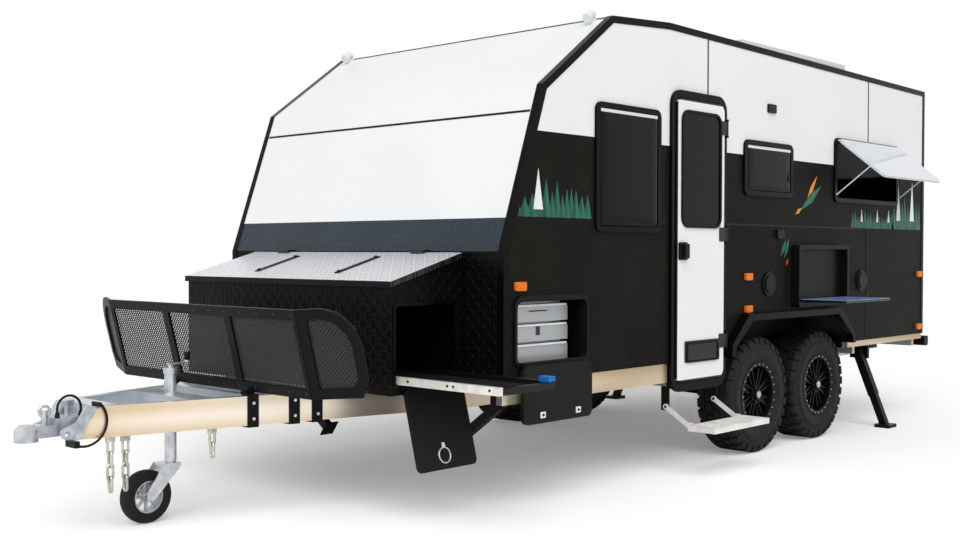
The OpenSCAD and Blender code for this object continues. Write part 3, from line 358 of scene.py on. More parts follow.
def finish_of(key):
    """The finish by its short name, made once."""
    white, green = sizes().white_sheet, sizes().print_green
    recipes = {
        "side": (cladding, "Composite sheet, sides", "X", WHITE_FROM, ROLLED_TO, 0.03, WARM_CAST),
        "ends": (cladding, "Composite sheet, ends", "Y", WHITE_FROM, ROLLED_TO, 0.03, WARM_CAST),
        # The nose's dark band is made lighter and bluer than the sides: a painted sheen
        "brow": (cladding, "Composite sheet, nose", "Y", BROW_TO, BROW_TO, 0.3, PAINTED_BLUE_SHEEN),
        "rolled": (rolled_black, "Tread-rolled sheet, black"),
        "door": (door_sheet, "Gel-coated sheet with seal", 12),
        "table": (table_board, "Laminated board, pale blue", "#111214", "#7da0d0"),
        "galvanised": (galvanised_steel, "Hot-dip galvanised steel"),
        "powder": (powder_coat, "Powder-coated steel, black", "#0c0c0c", 0.4),
        "charcoal": (powder_coat, "Powder-coated sheet, charcoal", "#151515", 0.5),
        # Black powder-coated mesh painted mid grey: painted light on the strands; the guard's screws and
        # drawer catches share it
        "weave": (powder_coat, "Expanded steel mesh, black", "#3d3e40", 0.3),
        "rim": (powder_coat, "Painted alloy, satin black", "#0c0d0e", 0.3),
        "zinc": (plated_steel, "Zinc-plated steel", "#bfc3c7", "#dfe2e4", 0.28),
        "bright": (plated_steel, "Zinc-plated steel, bright", "#e4e2df", "#f6f5f3", 0.36, 0.35),
        "chain": (plated_steel, "Zinc-plated steel, yellow passivated", "#a5a094", "#d4d0c5", 0.28),
        "cast": (plated_steel, "Cast steel, zinc-dipped", "#a9adb3", "#d2d6da", 0.36, 0.75, 0.3),
        "slide": (slide_steel, "Zinc-plated slide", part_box("tray")[1][0] - 28 * MM),
        "tread": (tread_plate, "Aluminium tread plate"),
        "steel": (brushed_steel, "Brushed stainless steel"),
        "acrylic": (acrylic_sheet, "Smoked acrylic", "#0a0a0a", 0.11),
        # Pale acrylic whose colour is a painted reflection of the sky, on the open sash and the panes' hinge
        # rails
        "sash": (acrylic_sheet, "Silvered acrylic", "#d6dae2", 0.4),
        "plastic": (moulded_plastic, "Moulded plastic, black", "#0d0d0e", 0.42),
        "gloss": (moulded_plastic, "Moulded plastic, gloss black", "#070707", 0.2, 0.08),
        "sheath": (moulded_plastic, "PVC sheath, black", "#0c0c0d", 0.3),
        # White ABS coloured light grey: painted shade over the whole roof unit
        "abs": (moulded_plastic, "ABS, white", "#c6c9ca", 0.4),
        "blue": (moulded_plastic, "Moulded plastic, blue", "#1f6fc0", 0.35),
        "lens": (lamp_lens, "Lamp lens", "#e5780c", "#b4150f", "#dfe3e6"),
        # Rolled smooth and gel-coated: clean white with a clear gloss
        "white": (plain_drift, "Gel-coated sheet, white", 900, *tones(white, 0.97, 1.02), 0.28, 0.3),
        # Moulded and full of carbon black: dull near-black, greyer where it is worn
        "tyre": (plain_drift, "Tyre rubber", 60, "#0e0e0f", "#1a1a1b", 0.7, 0.25),
        # Plywood faced with vinyl: warm brown
        "board": (plain_drift, "Vinyl-faced plywood", 90, "#76644d", "#9b8a70", 0.5),
        # Printed vinyl film: even colour under a satin top coat
        "green": (plain_drift, "Printed film, green", 50, *tones(green, 0.75, 1.0), 0.35, 0.15),
        "moss": (plain_drift, "Printed film, dark green", 50, *tones(green, 0.4, 0.6), 0.35, 0.15),
        "pale": (plain_drift, "Printed film, pale", 50, "#dde3de", "#f0f2ee", 0.35, 0.15),
        "orange": (plain_drift, "Printed film, orange", 50, "#cf7410", "#ef9a2a", 0.35, 0.15),
        "red": (plain_drift, "Printed film, red", 50, "#b4341f", "#d5492c", 0.35, 0.15),
    }
    if key not in MATERIALS:
        maker, *values = recipes[key]
        MATERIALS[key] = maker(*values)
    return MATERIALS[key]


NODE_FINISH = {
    "galvanised": "drawbar_rails main_rails cross_members",
    "side": "wall_left wall_right",
    "ends": "rear_wall",
    "brow": "nose_mid",
    "rolled": "front_box nose_low",
    "white": "nose_top roof",
    "door": "door_leaf",
    "table": "table_leaf",
    "cast": "coupling",
    "chain": "safety_chains",
    "zinc": "jack_tube jockey_fork",
    "bright": "step_arms step_tread",
    "slide": "tray",
    "powder": "guard_frame table_frame suspension underbody_brackets rear_bumper front_leg_l front_leg_r "
              "galley_frame rear_leg_l rear_leg_r",
    "charcoal": "front_hatch_door galley_door",
    "rim": "rim_fl rim_fr rim_rl rim_rr",
    "tyre": "jockey_tyre",
    "sheath": "brake_cables",
    "acrylic": "window_panes door_pane",
    "sash": "open_sash",
    "gloss": "window_frames door_frame edge_trim mudguards",
    "plastic": "wall_fittings wheel_wells door_handle",
    "abs": "air_conditioner",
    "tread": "box_lid",
    "steel": "galley_drawers jockey_rim",
    "lens": "lamps",
    "board": "floor",
}


# Mesh building


def placed(name, data):
    """A new object of the scene."""
    made = bpy.data.objects.new(name, data)
    bpy.context.collection.objects.link(made)
    return made


def mesh_of(name, bm, material):
    """Turns a bmesh into a mesh of one material, with its faces turned outward."""
    mesh = bpy.data.meshes.new(name)
    bmesh.ops.recalc_face_normals(bm, faces=bm.faces)
    bm.to_mesh(mesh)
    bm.free()
    mesh.materials.append(material)
    return mesh


def finish_mesh(name, bm, key, slot, bevel_mm=0.0, body="chassis", smooth=False):
    """Turns a bmesh into a piece of the trailer that rides on a body."""
    for face in bm.faces:
        face.smooth = smooth
    piece = placed(name, mesh_of(name, bm, finish_of(key)))
    if bevel_mm:
        rounding = piece.modifiers.new("Rounded edges", "BEVEL")
        rounding.width = bevel_mm * MM
        rounding.segments = 2
        rounding.limit_method = "ANGLE"
    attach(piece, body)
    return piece


def six_sided(bm, points):
    """A solid with six faces from its eight corners: two by two along each of three directions."""
    made = [bm.verts.new(point) for point in points]
    for quad in ((0, 1, 3, 2), (4, 6, 7, 5), (0, 4, 5, 1), (2, 3, 7, 6), (0, 2, 6, 4), (1, 5, 7, 3)):
        bm.faces.new([made[i] for i in quad])


def boxed(name, boxes, *look, **more):
    """A piece made of boxes, each between two corners in the frame."""
    bm = bmesh.new()
    for low, high in boxes:
        six_sided(bm, [(x, y, z) for x in (low[0], high[0])
                       for y in (low[1], high[1]) for z in (low[2], high[2])])
    return finish_mesh(name, bm, *look, **more)


def strip(bm, start, end, width, depth, face):
    """A bar from start to end: width across, depth along the normal of the face that it lies on."""
    run = (end - start).normalized()
    normal = (face - run * face.dot(run)).normalized()
    side = run.cross(normal) * (width / 2)
    six_sided(bm, [point + lift + across for point in (start, end)
                   for lift in (Vector((0, 0, 0)), normal * depth) for across in (-side, side)])


def disc(bm, centre, normal, radius, height, segments=24):
    """A short round boss that stands on centre along normal."""
    turn = Vector((0, 0, 1)).rotation_difference(normal).to_matrix().to_4x4()
    bmesh.ops.create_cone(bm, cap_ends=True, segments=segments, radius1=radius, radius2=radius * 0.92,
                          depth=height, matrix=Matrix.Translation(centre + normal * height / 2) @ turn)


def bridge(bm, a, b):
    """Faces between two closed rings of points."""
    for i in range(len(a)):
        k = (i + 1) % len(a)
        bm.faces.new([a[i], a[k], b[k], b[i]])


def lathe(bm, profile, matrix, segments):
    """Turns a closed profile of (radius, along) about the local Z axis."""
    rings = []
    for i in range(segments):
        angle = 2 * math.pi * i / segments
        rings.append([bm.verts.new(matrix @ Vector((r * math.cos(angle), r * math.sin(angle), h)))
                      for r, h in profile])
    for ring, following in zip(rings, rings[1:] + rings[:1]):
        bridge(bm, ring, following)


def ring_outline(width, height, radius, steps=6):
    """Points round a rounded rectangle about the origin, counter-clockwise."""
    points = []
    for sx, sy, first in ((1, -1, -90), (1, 1, 0), (-1, 1, 90), (-1, -1, 180)):
        for i in range(steps + 1):
            angle = math.radians(first + 90 * i / steps)
            points.append((sx * (width / 2 - radius) + radius * math.cos(angle),
                           sy * (height / 2 - radius) + radius * math.sin(angle)))
    return points


def around(count, shift=0.0):
    """Directions at even angles round a wheel's axle."""
    for i in range(count):
        angle = 2 * math.pi * (i + shift) / count
        yield Vector((math.cos(angle), 0, math.sin(angle)))


# The sizes that a user would change


class TrailerSizes(bpy.types.PropertyGroup):
    """Sizes of the fittings that Blender adds to the frame, and the main colours."""

    lug_count: IntProperty(name="Tread lugs", description="Lugs round one shoulder of a tyre",
                           default=30, min=12)
    lug_height: FloatProperty(name="Lug height", description="Depth of the tread", default=14 * MM,
                              unit="LENGTH")
    mesh_pitch: FloatProperty(name="Mesh pitch", description="Spacing of the guard's strands",
                              default=22 * MM, unit="LENGTH")
    strand: FloatProperty(name="Strand", description="Width of a strand of the guard's mesh",
                          default=7 * MM, unit="LENGTH")
    moulding: FloatProperty(name="Moulding", description="Width of the wall's seam mouldings",
                            default=13 * MM, unit="LENGTH")
    dark_sheet: FloatVectorProperty(name="Dark sheet",
                                    description="Colour of the lower walls and the front box",
                                    subtype="COLOR", size=4, default=linear("#0b0b0b"))
    white_sheet: FloatVectorProperty(name="White sheet",
                                     description="Colour of the upper walls, roof and door",
                                     subtype="COLOR", size=4, default=linear("#eceeee"))
    print_green: FloatVectorProperty(name="Print green", description="Colour of the pattern on the walls",
                                     subtype="COLOR", size=4, default=linear("#2f7059"))
    backdrop: FloatVectorProperty(name="Backdrop", description="Colour of the floor", subtype="COLOR", size=4,
                                  default=linear("#fdfdfd"))
    floor_lift: FloatProperty(name="Floor lift", description="White that the camera adds to the floor",
                              default=0.21, subtype="FACTOR", min=0.0, max=1.0)
    lens: FloatProperty(name="Lens", description="Camera's focal length", default=44.27, unit="CAMERA")


def sizes():
    """The sizes and colours in use."""
    return bpy.context.scene.trailer_sizes


# Pieces


class TRAILER_OT_stage(bpy.types.Operator):
    """Floor, light and camera"""

    bl_idname = "trailer.stage"
    bl_label = "Stage"

    LAMPS = (("soft_sun", "SUN", (5.0, 5.5, 9.0), {"energy": 1.5, "angle": math.radians(50)}),
             ("soft_box_front", "AREA", (11.0, 2.0, 5.0), {"energy": 230, "size": 5.0}),
             ("soft_box_side", "AREA", (1.5, 9.0, 5.0), {"energy": 95, "size": 6.0}))
    AIM = Vector((0.5, 0.0, 1.0))  # what the lamps point at
    AMBIENT = 0.42  # the world's own light on the trailer
    FLOOR = 60  # half the floor's width, in metres
    EYE = (9970.8, 5317.6, 1384.7)  # the camera's station, and its angles in degrees
    YAW_PITCH_ROLL = (222.991, -1.118, 0.111)

    def execute(self, context):
        scene = context.scene
        scene.view_settings.view_transform = "Standard"
        self.make_floor()
        self.make_world(scene)
        self.make_lamps()
        self.make_camera(scene)
        return {"FINISHED"}

    def make_floor(self):
        """Matt white paper: an even pale floor that keeps the trailer's soft shadow."""
        made, tree, shader, _ = new_material("Studio floor, matt paper", sizes().backdrop, 0.9)
        path = add(tree, "LightPath").outputs
        seen = add(tree, "Math MULTIPLY", [path["Is Camera Ray"], sizes().floor_lift])
        feed(shader, {"Emission Color": "#ffffff", "Emission Strength": seen})
        bm = bmesh.new()
        bmesh.ops.create_grid(bm, x_segments=1, y_segments=1, size=self.FLOOR)
        placed("studio_floor", mesh_of("floor_sheet", bm, made))

    def make_world(self, scene):
        """Even soft light, and white where the camera, metal or glass sees it."""
        world = bpy.data.worlds.new("Studio")
        world.use_nodes = True
        tree = world.node_tree
        path = add(tree, "LightPath").outputs
        seen = path["Is Camera Ray"]
        for ray in ("Is Transmission Ray", "Is Glossy Ray"):
            seen = add(tree, "Math MAXIMUM", [seen, path[ray]])
        level = add(tree, "MapRange", {"Value": seen, "To Min": self.AMBIENT, "To Max": 1.0})
        feed(tree.nodes["Background"], {"Color": "#ffffff", "Strength": level})
        scene.world = world

    def make_lamps(self):
        """A wide soft sun and two soft boxes, aimed at the trailer."""
        for name, kind, spot, settings in self.LAMPS:
            light = bpy.data.lights.new(name, kind)
            for key, value in settings.items():
                setattr(light, key, value)
            lamp = placed(name, light)
            lamp.location = spot
            lamp.rotation_euler = (self.AIM - Vector(spot)).to_track_quat("-Z", "Y").to_euler()

    def make_camera(self, scene):
        """The camera where the photo was taken from."""
        data = bpy.data.cameras.new("Photo camera")
        data.lens = sizes().lens
        data.sensor_width = 36
        data.clip_end = 200
        camera = placed("photo_camera", data)
        yaw, pitch, roll = (math.radians(a) for a in self.YAW_PITCH_ROLL)
        ahead = Vector((math.cos(yaw) * math.cos(pitch), math.sin(yaw) * math.cos(pitch), math.sin(pitch)))
        level = ahead.to_track_quat("-Z", "Y").to_matrix()
        rolled = level @ Matrix.Rotation(roll, 3, "Z")
        camera.matrix_world = Matrix.Translation(at(*self.EYE)) @ rolled.to_4x4()
        scene.camera = camera


class TRAILER_OT_cables(bpy.types.Operator):
    """Two looped brake cables at the hitch, with their boots and clips"""

    bl_idname = "trailer.cables"
    bl_label = "Cables"

    WIRE = 12 * MM
    FOOT = (590, 604, 618)  # heights of the points where the arch stands straight
    ARCH, ARCH_R = (7198, 55, 632), 60  # the arch's centre and its radius
    BOW, BOW_R = (7205, 218, 580), 113  # the bow's
    # Profile of a boot as radius and height, in metres
    BOOT = [(0.0066, 0.0), (0.0125, 0.0), (0.0125, 0.008), (0.0115, 0.010), (0.0085, 0.026), (0.0066, 0.026)]

    def execute(self, context):
        x, y, z = self.ARCH
        arc = [math.radians(180 - 180 * i / 24) for i in range(25)]
        arch = [(x - self.ARCH_R, y, foot) for foot in self.FOOT]
        arch += [(x + self.ARCH_R * math.cos(a), y, z + self.ARCH_R * math.sin(a)) for a in arc]
        arch += [(x + self.ARCH_R, y, foot) for foot in reversed(self.FOOT)]
        self.cable("cable_arch", arch, [self.boots([arch[0], arch[-1]])])
        x, y, z = self.BOW
        turn = [math.radians(135 + 157 * i / 28) for i in range(29)]
        bow = [(x + self.BOW_R * math.cos(a), y, z + self.BOW_R * math.sin(a)) for a in turn]
        self.cable("cable_bow", bow, [])
        clips = boxed("cable_clips", [(at(7120, 148.5, 645), at(7134, 224, 667)),
                                      (at(7232, 128.5, 463), at(7258, 224, 495))],
                      "plastic", "black_plastic", 3.0)
        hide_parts("brake_cables")
        return {"FINISHED"}

    def cable(self, name, stations, with_pieces):
        """One cable through its stations, as a curve with a round section."""
        points = [at(*station) for station in stations]
        data = bpy.data.curves.new(name, "CURVE")
        data.dimensions = "3D"
        data.bevel_depth = self.WIRE / 2
        data.bevel_resolution = 4
        data.use_fill_caps = True
        run = data.splines.new("POLY")
        run.points.add(len(points) - 1)
        for spot, point in zip(run.points, points):
            spot.co = (*point, 1.0)
        data.materials.append(finish_of("sheath"))
        piece = placed(name, data)
        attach(piece, "chassis")

    def boots(self, feet):
        """Tapered boots where the arch leaves the hitch block."""
        bm = bmesh.new()
        for foot in feet:
            lathe(bm, self.BOOT, Matrix.Translation(at(*foot)), 24)
        return finish_mesh("cable_boots", bm, "plastic", "black_plastic")


class TRAILER_OT_finishes(bpy.types.Operator):
    """Gives every piece of the frame its finish"""

    bl_idname = "trailer.finishes"
    bl_label = "Finishes"

    def execute(self, context):
        for key, names in NODE_FINISH.items():
            for name in names.split():
                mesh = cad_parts[name].data
                mesh.materials.clear()
                mesh.materials.append(finish_of(key))
        return {"FINISHED"}


class TRAILER_OT_tyres(bpy.types.Operator):
    """Mud-terrain tyres with shoulder lugs and staggered tread blocks"""

    bl_idname = "trailer.tyres"
    bl_label = "Tyres"

    BEAD = 215 * MM
    TIP = TYRE_R - 1.8 * MM  # the lugs' flat tips, whose corners reach the tyre's full size
    LUG_REACH = (0.052, 0.034)  # how far the long and the short lugs reach down the side
    STAGGER = 0.06  # angle from a lug to the block beside it, in radians

    def execute(self, context):
        mesh = self.tyre_mesh()
        for corner in WHEELS:
            low, high = corners("tyre_" + corner)
            piece = placed("tread_" + corner, mesh)
            upright = Matrix.Rotation(math.radians(-90), 4, "X")
            outer = Matrix.Rotation(math.radians(0 if corner[1] == "l" else 180), 4, "X")
            piece.matrix_world = Matrix.Translation((low + high) / 2) @ upright @ outer
            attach(piece, "wheel_" + corner)
            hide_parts("tyre_" + corner)
        return {"FINISHED"}

    def tyre_mesh(self):
        """One tyre about its own Z axis, outer side up."""
        bm = bmesh.new()
        top = TYRE_R - sizes().lug_height
        half = TYRE_W / 2
        side = [(self.BEAD, half - 0.022), (self.BEAD + 0.006, half - 0.012), (0.245, half - 0.010),
                (0.250, half - 0.006), (0.290, half - 0.002), (0.315, half - 0.0015), (0.318, half - 0.006),
                (0.330, half - 0.006), (0.350, half - 0.006), (top - 0.012, half - 0.016),
                (top, half - 0.034)]
        lathe(bm, side + [(r, -h) for r, h in reversed(side)], Matrix.Identity(4), 120)
        for face in bm.faces:
            face.smooth = True
        count = sizes().lug_count
        for i in range(count):
            angle = 2 * math.pi * i / count
            for way in (1, -1):
                shift = angle + (0 if way > 0 else math.pi / count)
                self.shoulder_lug(bm, shift, way, half, top, self.LUG_REACH[i % 2])
                self.middle_block(bm, shift, way, top)
        return mesh_of("mud_tyre", bm, finish_of("tyre"))

    def loop_solid(self, bm, angle, way, sections):
        """A lug from sections of (radius, along, half width) set round the wheel at an angle, on one side."""
        turn = Matrix.Rotation(angle, 4, "Z")
        rows = [[bm.verts.new(turn @ Vector((r, s * w, way * h))) for s in (-1, 1)] for r, h, w in sections]
        for a, b in zip(rows, rows[1:] + rows[:1]):
            bm.faces.new([a[0], a[1], b[1], b[0]])
        bm.faces.new([row[0] for row in rows])
        bm.faces.new([row[1] for row in reversed(rows)])

    def shoulder_lug(self, bm, angle, way, half, top, reach):
        """A lug over the tyre's shoulder, which reaches down its side."""
        w, tip, root = 0.029, self.TIP, top - 0.014
        outline = [(tip, half - 0.036 - 0.034, w), (tip, half - 0.026, w),
                   (tip - 0.012, half - 0.008, w * 0.95), (tip - reach, half - 0.0005, w * 0.8),
                   (tip - reach - 0.006, half - 0.012, w * 0.8), (root, half - 0.060, w),
                   (root, half - 0.072, w)]
        self.loop_solid(bm, angle, way, outline)

    def middle_block(self, bm, angle, way, top):
        """A block beside the tyre's middle line."""
        root = top - 0.012
        outline = [(self.TIP, 0.008, 0.024), (self.TIP, 0.050, 0.030), (root, 0.052, 0.032),
                   (root, 0.006, 0.026)]
        self.loop_solid(bm, angle + self.STAGGER, way, outline)


class TRAILER_OT_wheel_trim(bpy.types.Operator):
    """Bead-ring bolts, spoke ribs, wheel nuts and centre caps"""

    bl_idname = "trailer.wheel_trim"
    bl_label = "Wheel trim"

    BOLT_CIRCLE, NUT_CIRCLE = 0.209, 0.052  # radii that the bead ring's bolts and the wheel nuts lie on
    SPOKE = (0.060, 0.190)  # radii where a spoke's ribs begin and end

    def execute(self, context):
        for corner in WHEELS:
            low, high = corners("tyre_" + corner)
            out = OUT if corner[1] == "l" else -OUT
            face = (low + high) / 2 + out * (TYRE_W / 2)
            self.bolts(corner, face, out)
            self.ribs(corner, face, out)
        return {"FINISHED"}

    def bolts(self, corner, face, out):
        """Bolts round the bead ring, and a small cap."""
        bm = bmesh.new()
        for ray in around(24):
            disc(bm, face + ray * self.BOLT_CIRCLE - out * 0.010, out, 0.005, 0.008, 10)
        disc(bm, face - out * 0.012, out, 0.026, 0.008, 32)
        finish_mesh("wheel_bolts_" + corner, bm, "chain", "zinc", body="wheel_" + corner)

    def ribs(self, corner, face, out):
        """Raised ribs along the spokes, the wheel nuts and the rim of the centre cap."""
        bm = bmesh.new()
        for ray in around(6):
            disc(bm, face + ray * self.NUT_CIRCLE - out * 0.024, out, 0.0105, 0.008, 6)
        disc(bm, face - out * 0.014, out, 0.036, 0.006, 32)
        for ray in around(8, 0.5):
            start, end = (face + ray * radius - out * 0.046 for radius in self.SPOKE)
            for side in (-1, 1):
                offset = ray.cross(out) * 0.016 * side
                strip(bm, start + offset, end + offset * 1.7, 0.010, 0.014, out)
        finish_mesh("spoke_ribs_" + corner, bm, "rim", "black_metal", 2.0, "wheel_" + corner)


class TRAILER_OT_guard_mesh(bpy.types.Operator):
    """Fine diamond mesh behind the stone guard's bars, with the guard's screws and bolts"""

    bl_idname = "trailer.guard_mesh"
    bl_label = "Guard mesh"

    LEAN = math.radians(14)
    SWEEP = math.radians(20)
    FOLD = 0.850  # from the middle to the fold where a wing begins
    HEIGHT = 0.450
    INSET = 0.020  # how far within the frame's edges the mesh is held
    WING = 0.303  # the mesh's reach along a wing
    CORNER = 0.325 + HEIGHT - 0.105 - INSET  # along plus height that the wing's round corner cuts at
    NO_CORNER = 9.0  # past every strand of the middle panel
    STRAPS = (6350, 6130, 6005)  # stations of the straps' rear edges
    STRAP_WIDTH, STRAP_THICK = 55, 9
    RAIL_X, RAIL_Y = 5150, 700  # where the drawbar's rails begin to draw in, and how far out they lie there
    RAIL_SLOPE = 500 / 1970

    def execute(self, context):
        plane = Matrix.Translation(at(6355, 0, 667)) @ Matrix.Rotation(self.LEAN, 4, "Y")
        bm = bmesh.new()
        self.panel(bm, plane, (-self.FOLD + self.INSET, self.FOLD - self.INSET), self.NO_CORNER)
        for side in (1, -1):
            swept = Matrix.Rotation(side * self.SWEEP, 4, "Z")
            wing = plane @ Matrix.Translation((0, side * self.FOLD, 0)) @ swept
            if side < 0:
                wing = wing @ Matrix.Scale(-1, 4, OUT)
            self.panel(bm, wing, (self.INSET, self.WING), self.CORNER)
        piece = finish_mesh("guard_weave", bm, "weave", "black_metal")
        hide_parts("guard_mesh")
        self.screws(plane)
        self.strap_bolts()
        return {"FINISHED"}

    def screws(self, plane):
        """Screw heads along the frame, on its front face."""
        bm = bmesh.new()
        ahead = plane.to_3x3() @ Vector((1, 0, 0))
        for i in range(13):
            y = (i / 6 - 1) * (self.FOLD - 0.03)
            for z in (0.026, self.HEIGHT - 0.026):
                disc(bm, plane @ Vector((0.012, y, z)), ahead, 0.0055, 0.003, 12)
        finish_mesh("guard_screws", bm, "weave", "black_metal")

    def strap_bolts(self):
        """Bolts through the straps that hold the guard to the drawbar."""
        bm = bmesh.new()
        for side in (1, -1):
            out = Vector((self.RAIL_SLOPE, side, 0)).normalized()
            for strap in self.STRAPS:
                x = strap + self.STRAP_WIDTH / 2
                y = self.RAIL_Y + self.STRAP_THICK - (x - self.RAIL_X) * self.RAIL_SLOPE
                for z in (530, 610):
                    disc(bm, at(x, side * y, z), out, 0.009, 0.007, 6)
        finish_mesh("strap_bolts", bm, "zinc", "zinc")

    def panel(self, bm, matrix, across, corner):
        """Strands on both diagonals, cut at the panel's edges and its rounded corner."""
        low, high = self.INSET, self.HEIGHT - self.INSET
        face = (matrix.to_3x3() @ Vector((-1, 0, 0))).normalized()
        for way in (1, -1):
            shift = across[0] - high if way > 0 else across[0] + low
            limit = across[1] - low if way > 0 else across[1] + high
            while shift < limit:
                if way > 0:
                    start = max(low, across[0] - shift)
                    end = min(high, across[1] - shift, (corner - shift) / 2)
                else:
                    start = max(low, shift - across[1])
                    end = min(high, shift - across[0])
                if end - start > 0.012 and (way > 0 or shift < corner):
                    a, b = (matrix @ Vector((-0.001, shift + way * z, z)) for z in (start, end))
                    strip(bm, a, b, sizes().strand, 0.0022, face)
                shift += sizes().mesh_pitch


class TRAILER_OT_wall_trim(bpy.types.Operator):
    """Seam mouldings and the printed side pattern"""

    bl_idname = "trailer.wall_trim"
    bl_label = "Wall trim"

    DEPTH = 2.5 * MM
    REACH = 1155  # half the length of a moulding across the trailer
    NOSE_SEAM = 2144  # height of the seam on the nose
    # Runs of moulding on the walls, as x, z, x, z
    LEFT = ((1330, ROLLED_TO, 2305, ROLLED_TO), (2305, ROLLED_TO, 3205, ROLLED_TO),
            (3846, ROLLED_TO, 3950, ROLLED_TO), (3410, 2390, 3410, 2740), (1078, 2250, 1078, 2735),
            (1078, 730, 1078, 1560))
    RIGHT = ((38, ROLLED_TO, 3950, ROLLED_TO), (4602, ROLLED_TO, 5270, ROLLED_TO), (1078, 2250, 1078, 2735),
             (2700, 2040, 2700, 2755))
    NOSE_EDGE = 5195  # where the nose's slanted edge meets the foot of the foremost peaks
    PEAK_WIDTHS = (60, 105)
    # Strips of peaks as x, x, and the heights of foot and top, and pale peaks as x, width, foot, top
    FOOT = ROLLED_TO + 5
    PEAK_ROWS = ((4625, 5235, FOOT, 1790), (590, 1310, FOOT, 1722), (60, 590, FOOT, 1850))
    PALE_PEAKS = [(5095, 80, 1610, 1832), (505, 75, 1640, 1925), (235, 85, 1640, 1960), (690, 40, 1620, 1722),
                  (900, 36, 1620, 1720), (1180, 40, 1620, 1716)]
    # Slanted bars as x, z, x, z, width
    BARS = {"orange": [(1915, 1945, 2080, 1750, 44), (2150, 1700, 2245, 1650, 34)],
            "green": [(1850, 1870, 2170, 1680, 70), (2335, 1475, 2400, 1335, 50),
                      (2375, 1470, 2450, 1350, 40)],
            "red": [(2345, 1335, 2375, 1285, 34)]}

    def execute(self, context):
        self.mouldings()
        self.peaks()
        self.bars()
        return {"FINISHED"}

    def mouldings(self):
        """Mouldings over the seams of the walls, the nose and the rear."""
        width = sizes().moulding
        for name, side, rows in (("left", 1, self.LEFT), ("right", -1, self.RIGHT)):
            bm = bmesh.new()
            for x0, z0, x1, z1 in rows:
                strip(bm, at(x0, side * WALL, z0), at(x1, side * WALL, z1), width, self.DEPTH, OUT * side)
            finish_mesh("mouldings_" + name, bm, "plastic", "black_plastic", 0.8)
        (top_x, top_z), (knee_x, knee_z), (foot_x, foot_z) = NOSE_TOP, NOSE_KNEE, NOSE_FOOT
        seam_x = knee_x + (knee_z - self.NOSE_SEAM) * (foot_x - knee_x) / (knee_z - foot_z)
        fall = Vector((knee_x - top_x, 0, knee_z - top_z)).normalized() * 8
        rear = Vector((-1, 0, 0))
        runs = [(seam_x, self.NOSE_SEAM, Vector((knee_z - foot_z, 0, foot_x - knee_x)).normalized()),
                (top_x + fall.x, top_z + fall.z, Vector((top_z - knee_z, 0, knee_x - top_x)).normalized()),
                (0, ROLLED_TO, rear), (0, WHITE_FROM, rear)]
        bm = bmesh.new()
        for x, z, face in runs:
            strip(bm, at(x, -self.REACH, z), at(x, self.REACH, z), width, self.DEPTH, face)
        finish_mesh("mouldings_ends", bm, "plastic", "black_plastic", 0.8)

    def peaks(self):
        """Plain rows of slim folded peaks, in the builder's own layout."""
        rng = random.Random(7)
        rows = {"green": [], "pale": self.PALE_PEAKS}
        for x0, x1, z0, z1 in self.PEAK_ROWS:
            x = x0
            while x < x1:
                w = rng.uniform(*self.PEAK_WIDTHS)
                edge = self.NOSE_EDGE - x if x > 4000 else 1000  # how far that edge still is
                top = min(rng.uniform(z0 + (z1 - z0) * 0.55, z1), z0 + 60 + max(edge, 0) * 1.3)
                rows["green"].append((x + w / 2, w, z0, top))
                x += w * 0.62
        for level, key in enumerate(("green", "pale")):
            halves = (bmesh.new(), bmesh.new())
            for i, (x, w, z0, z1) in enumerate(rows[key]):
                lift = 0.6 + level * 0.8 + (i % 3) * 0.2
                self.sheet_patch(halves[0], [(x - w / 2, z0), (x, z0), (x, z1)], lift)
                self.sheet_patch(halves[1], [(x, z0), (x + w / 2, z0), (x, z1)], lift)
            for part, bm in zip(("front", "rear"), halves):
                finish = key if part == "front" or key == "pale" else "moss"
                finish_mesh("print_" + key + "_" + part, bm, finish, "black_panel")

    def bars(self):
        """Slanted bars that taper to both ends."""
        for key, runs in self.BARS.items():
            bm = bmesh.new()
            for x0, z0, x1, z1, w in runs:
                run = math.hypot(x1 - x0, z1 - z0)
                u, v = (z1 - z0) / run * w / 2, (x0 - x1) / run * w / 2
                x, z = (x0 + x1) / 2, (z0 + z1) / 2
                self.sheet_patch(bm, [(x0, z0), (x + u, z + v), (x1, z1), (x - u, z - v)], 0.7)
            finish_mesh("print_bars_" + key, bm, key, "black_panel")

    def sheet_patch(self, bm, outline, lift):
        """A thin flat patch on the left wall, from (x, z) corners."""
        front, back = ([bm.verts.new(at(x, y, z)) for x, z in outline] for y in (WALL + lift, WALL))
        bm.faces.new(front)
        bm.faces.new(back)
        bridge(bm, front, back)


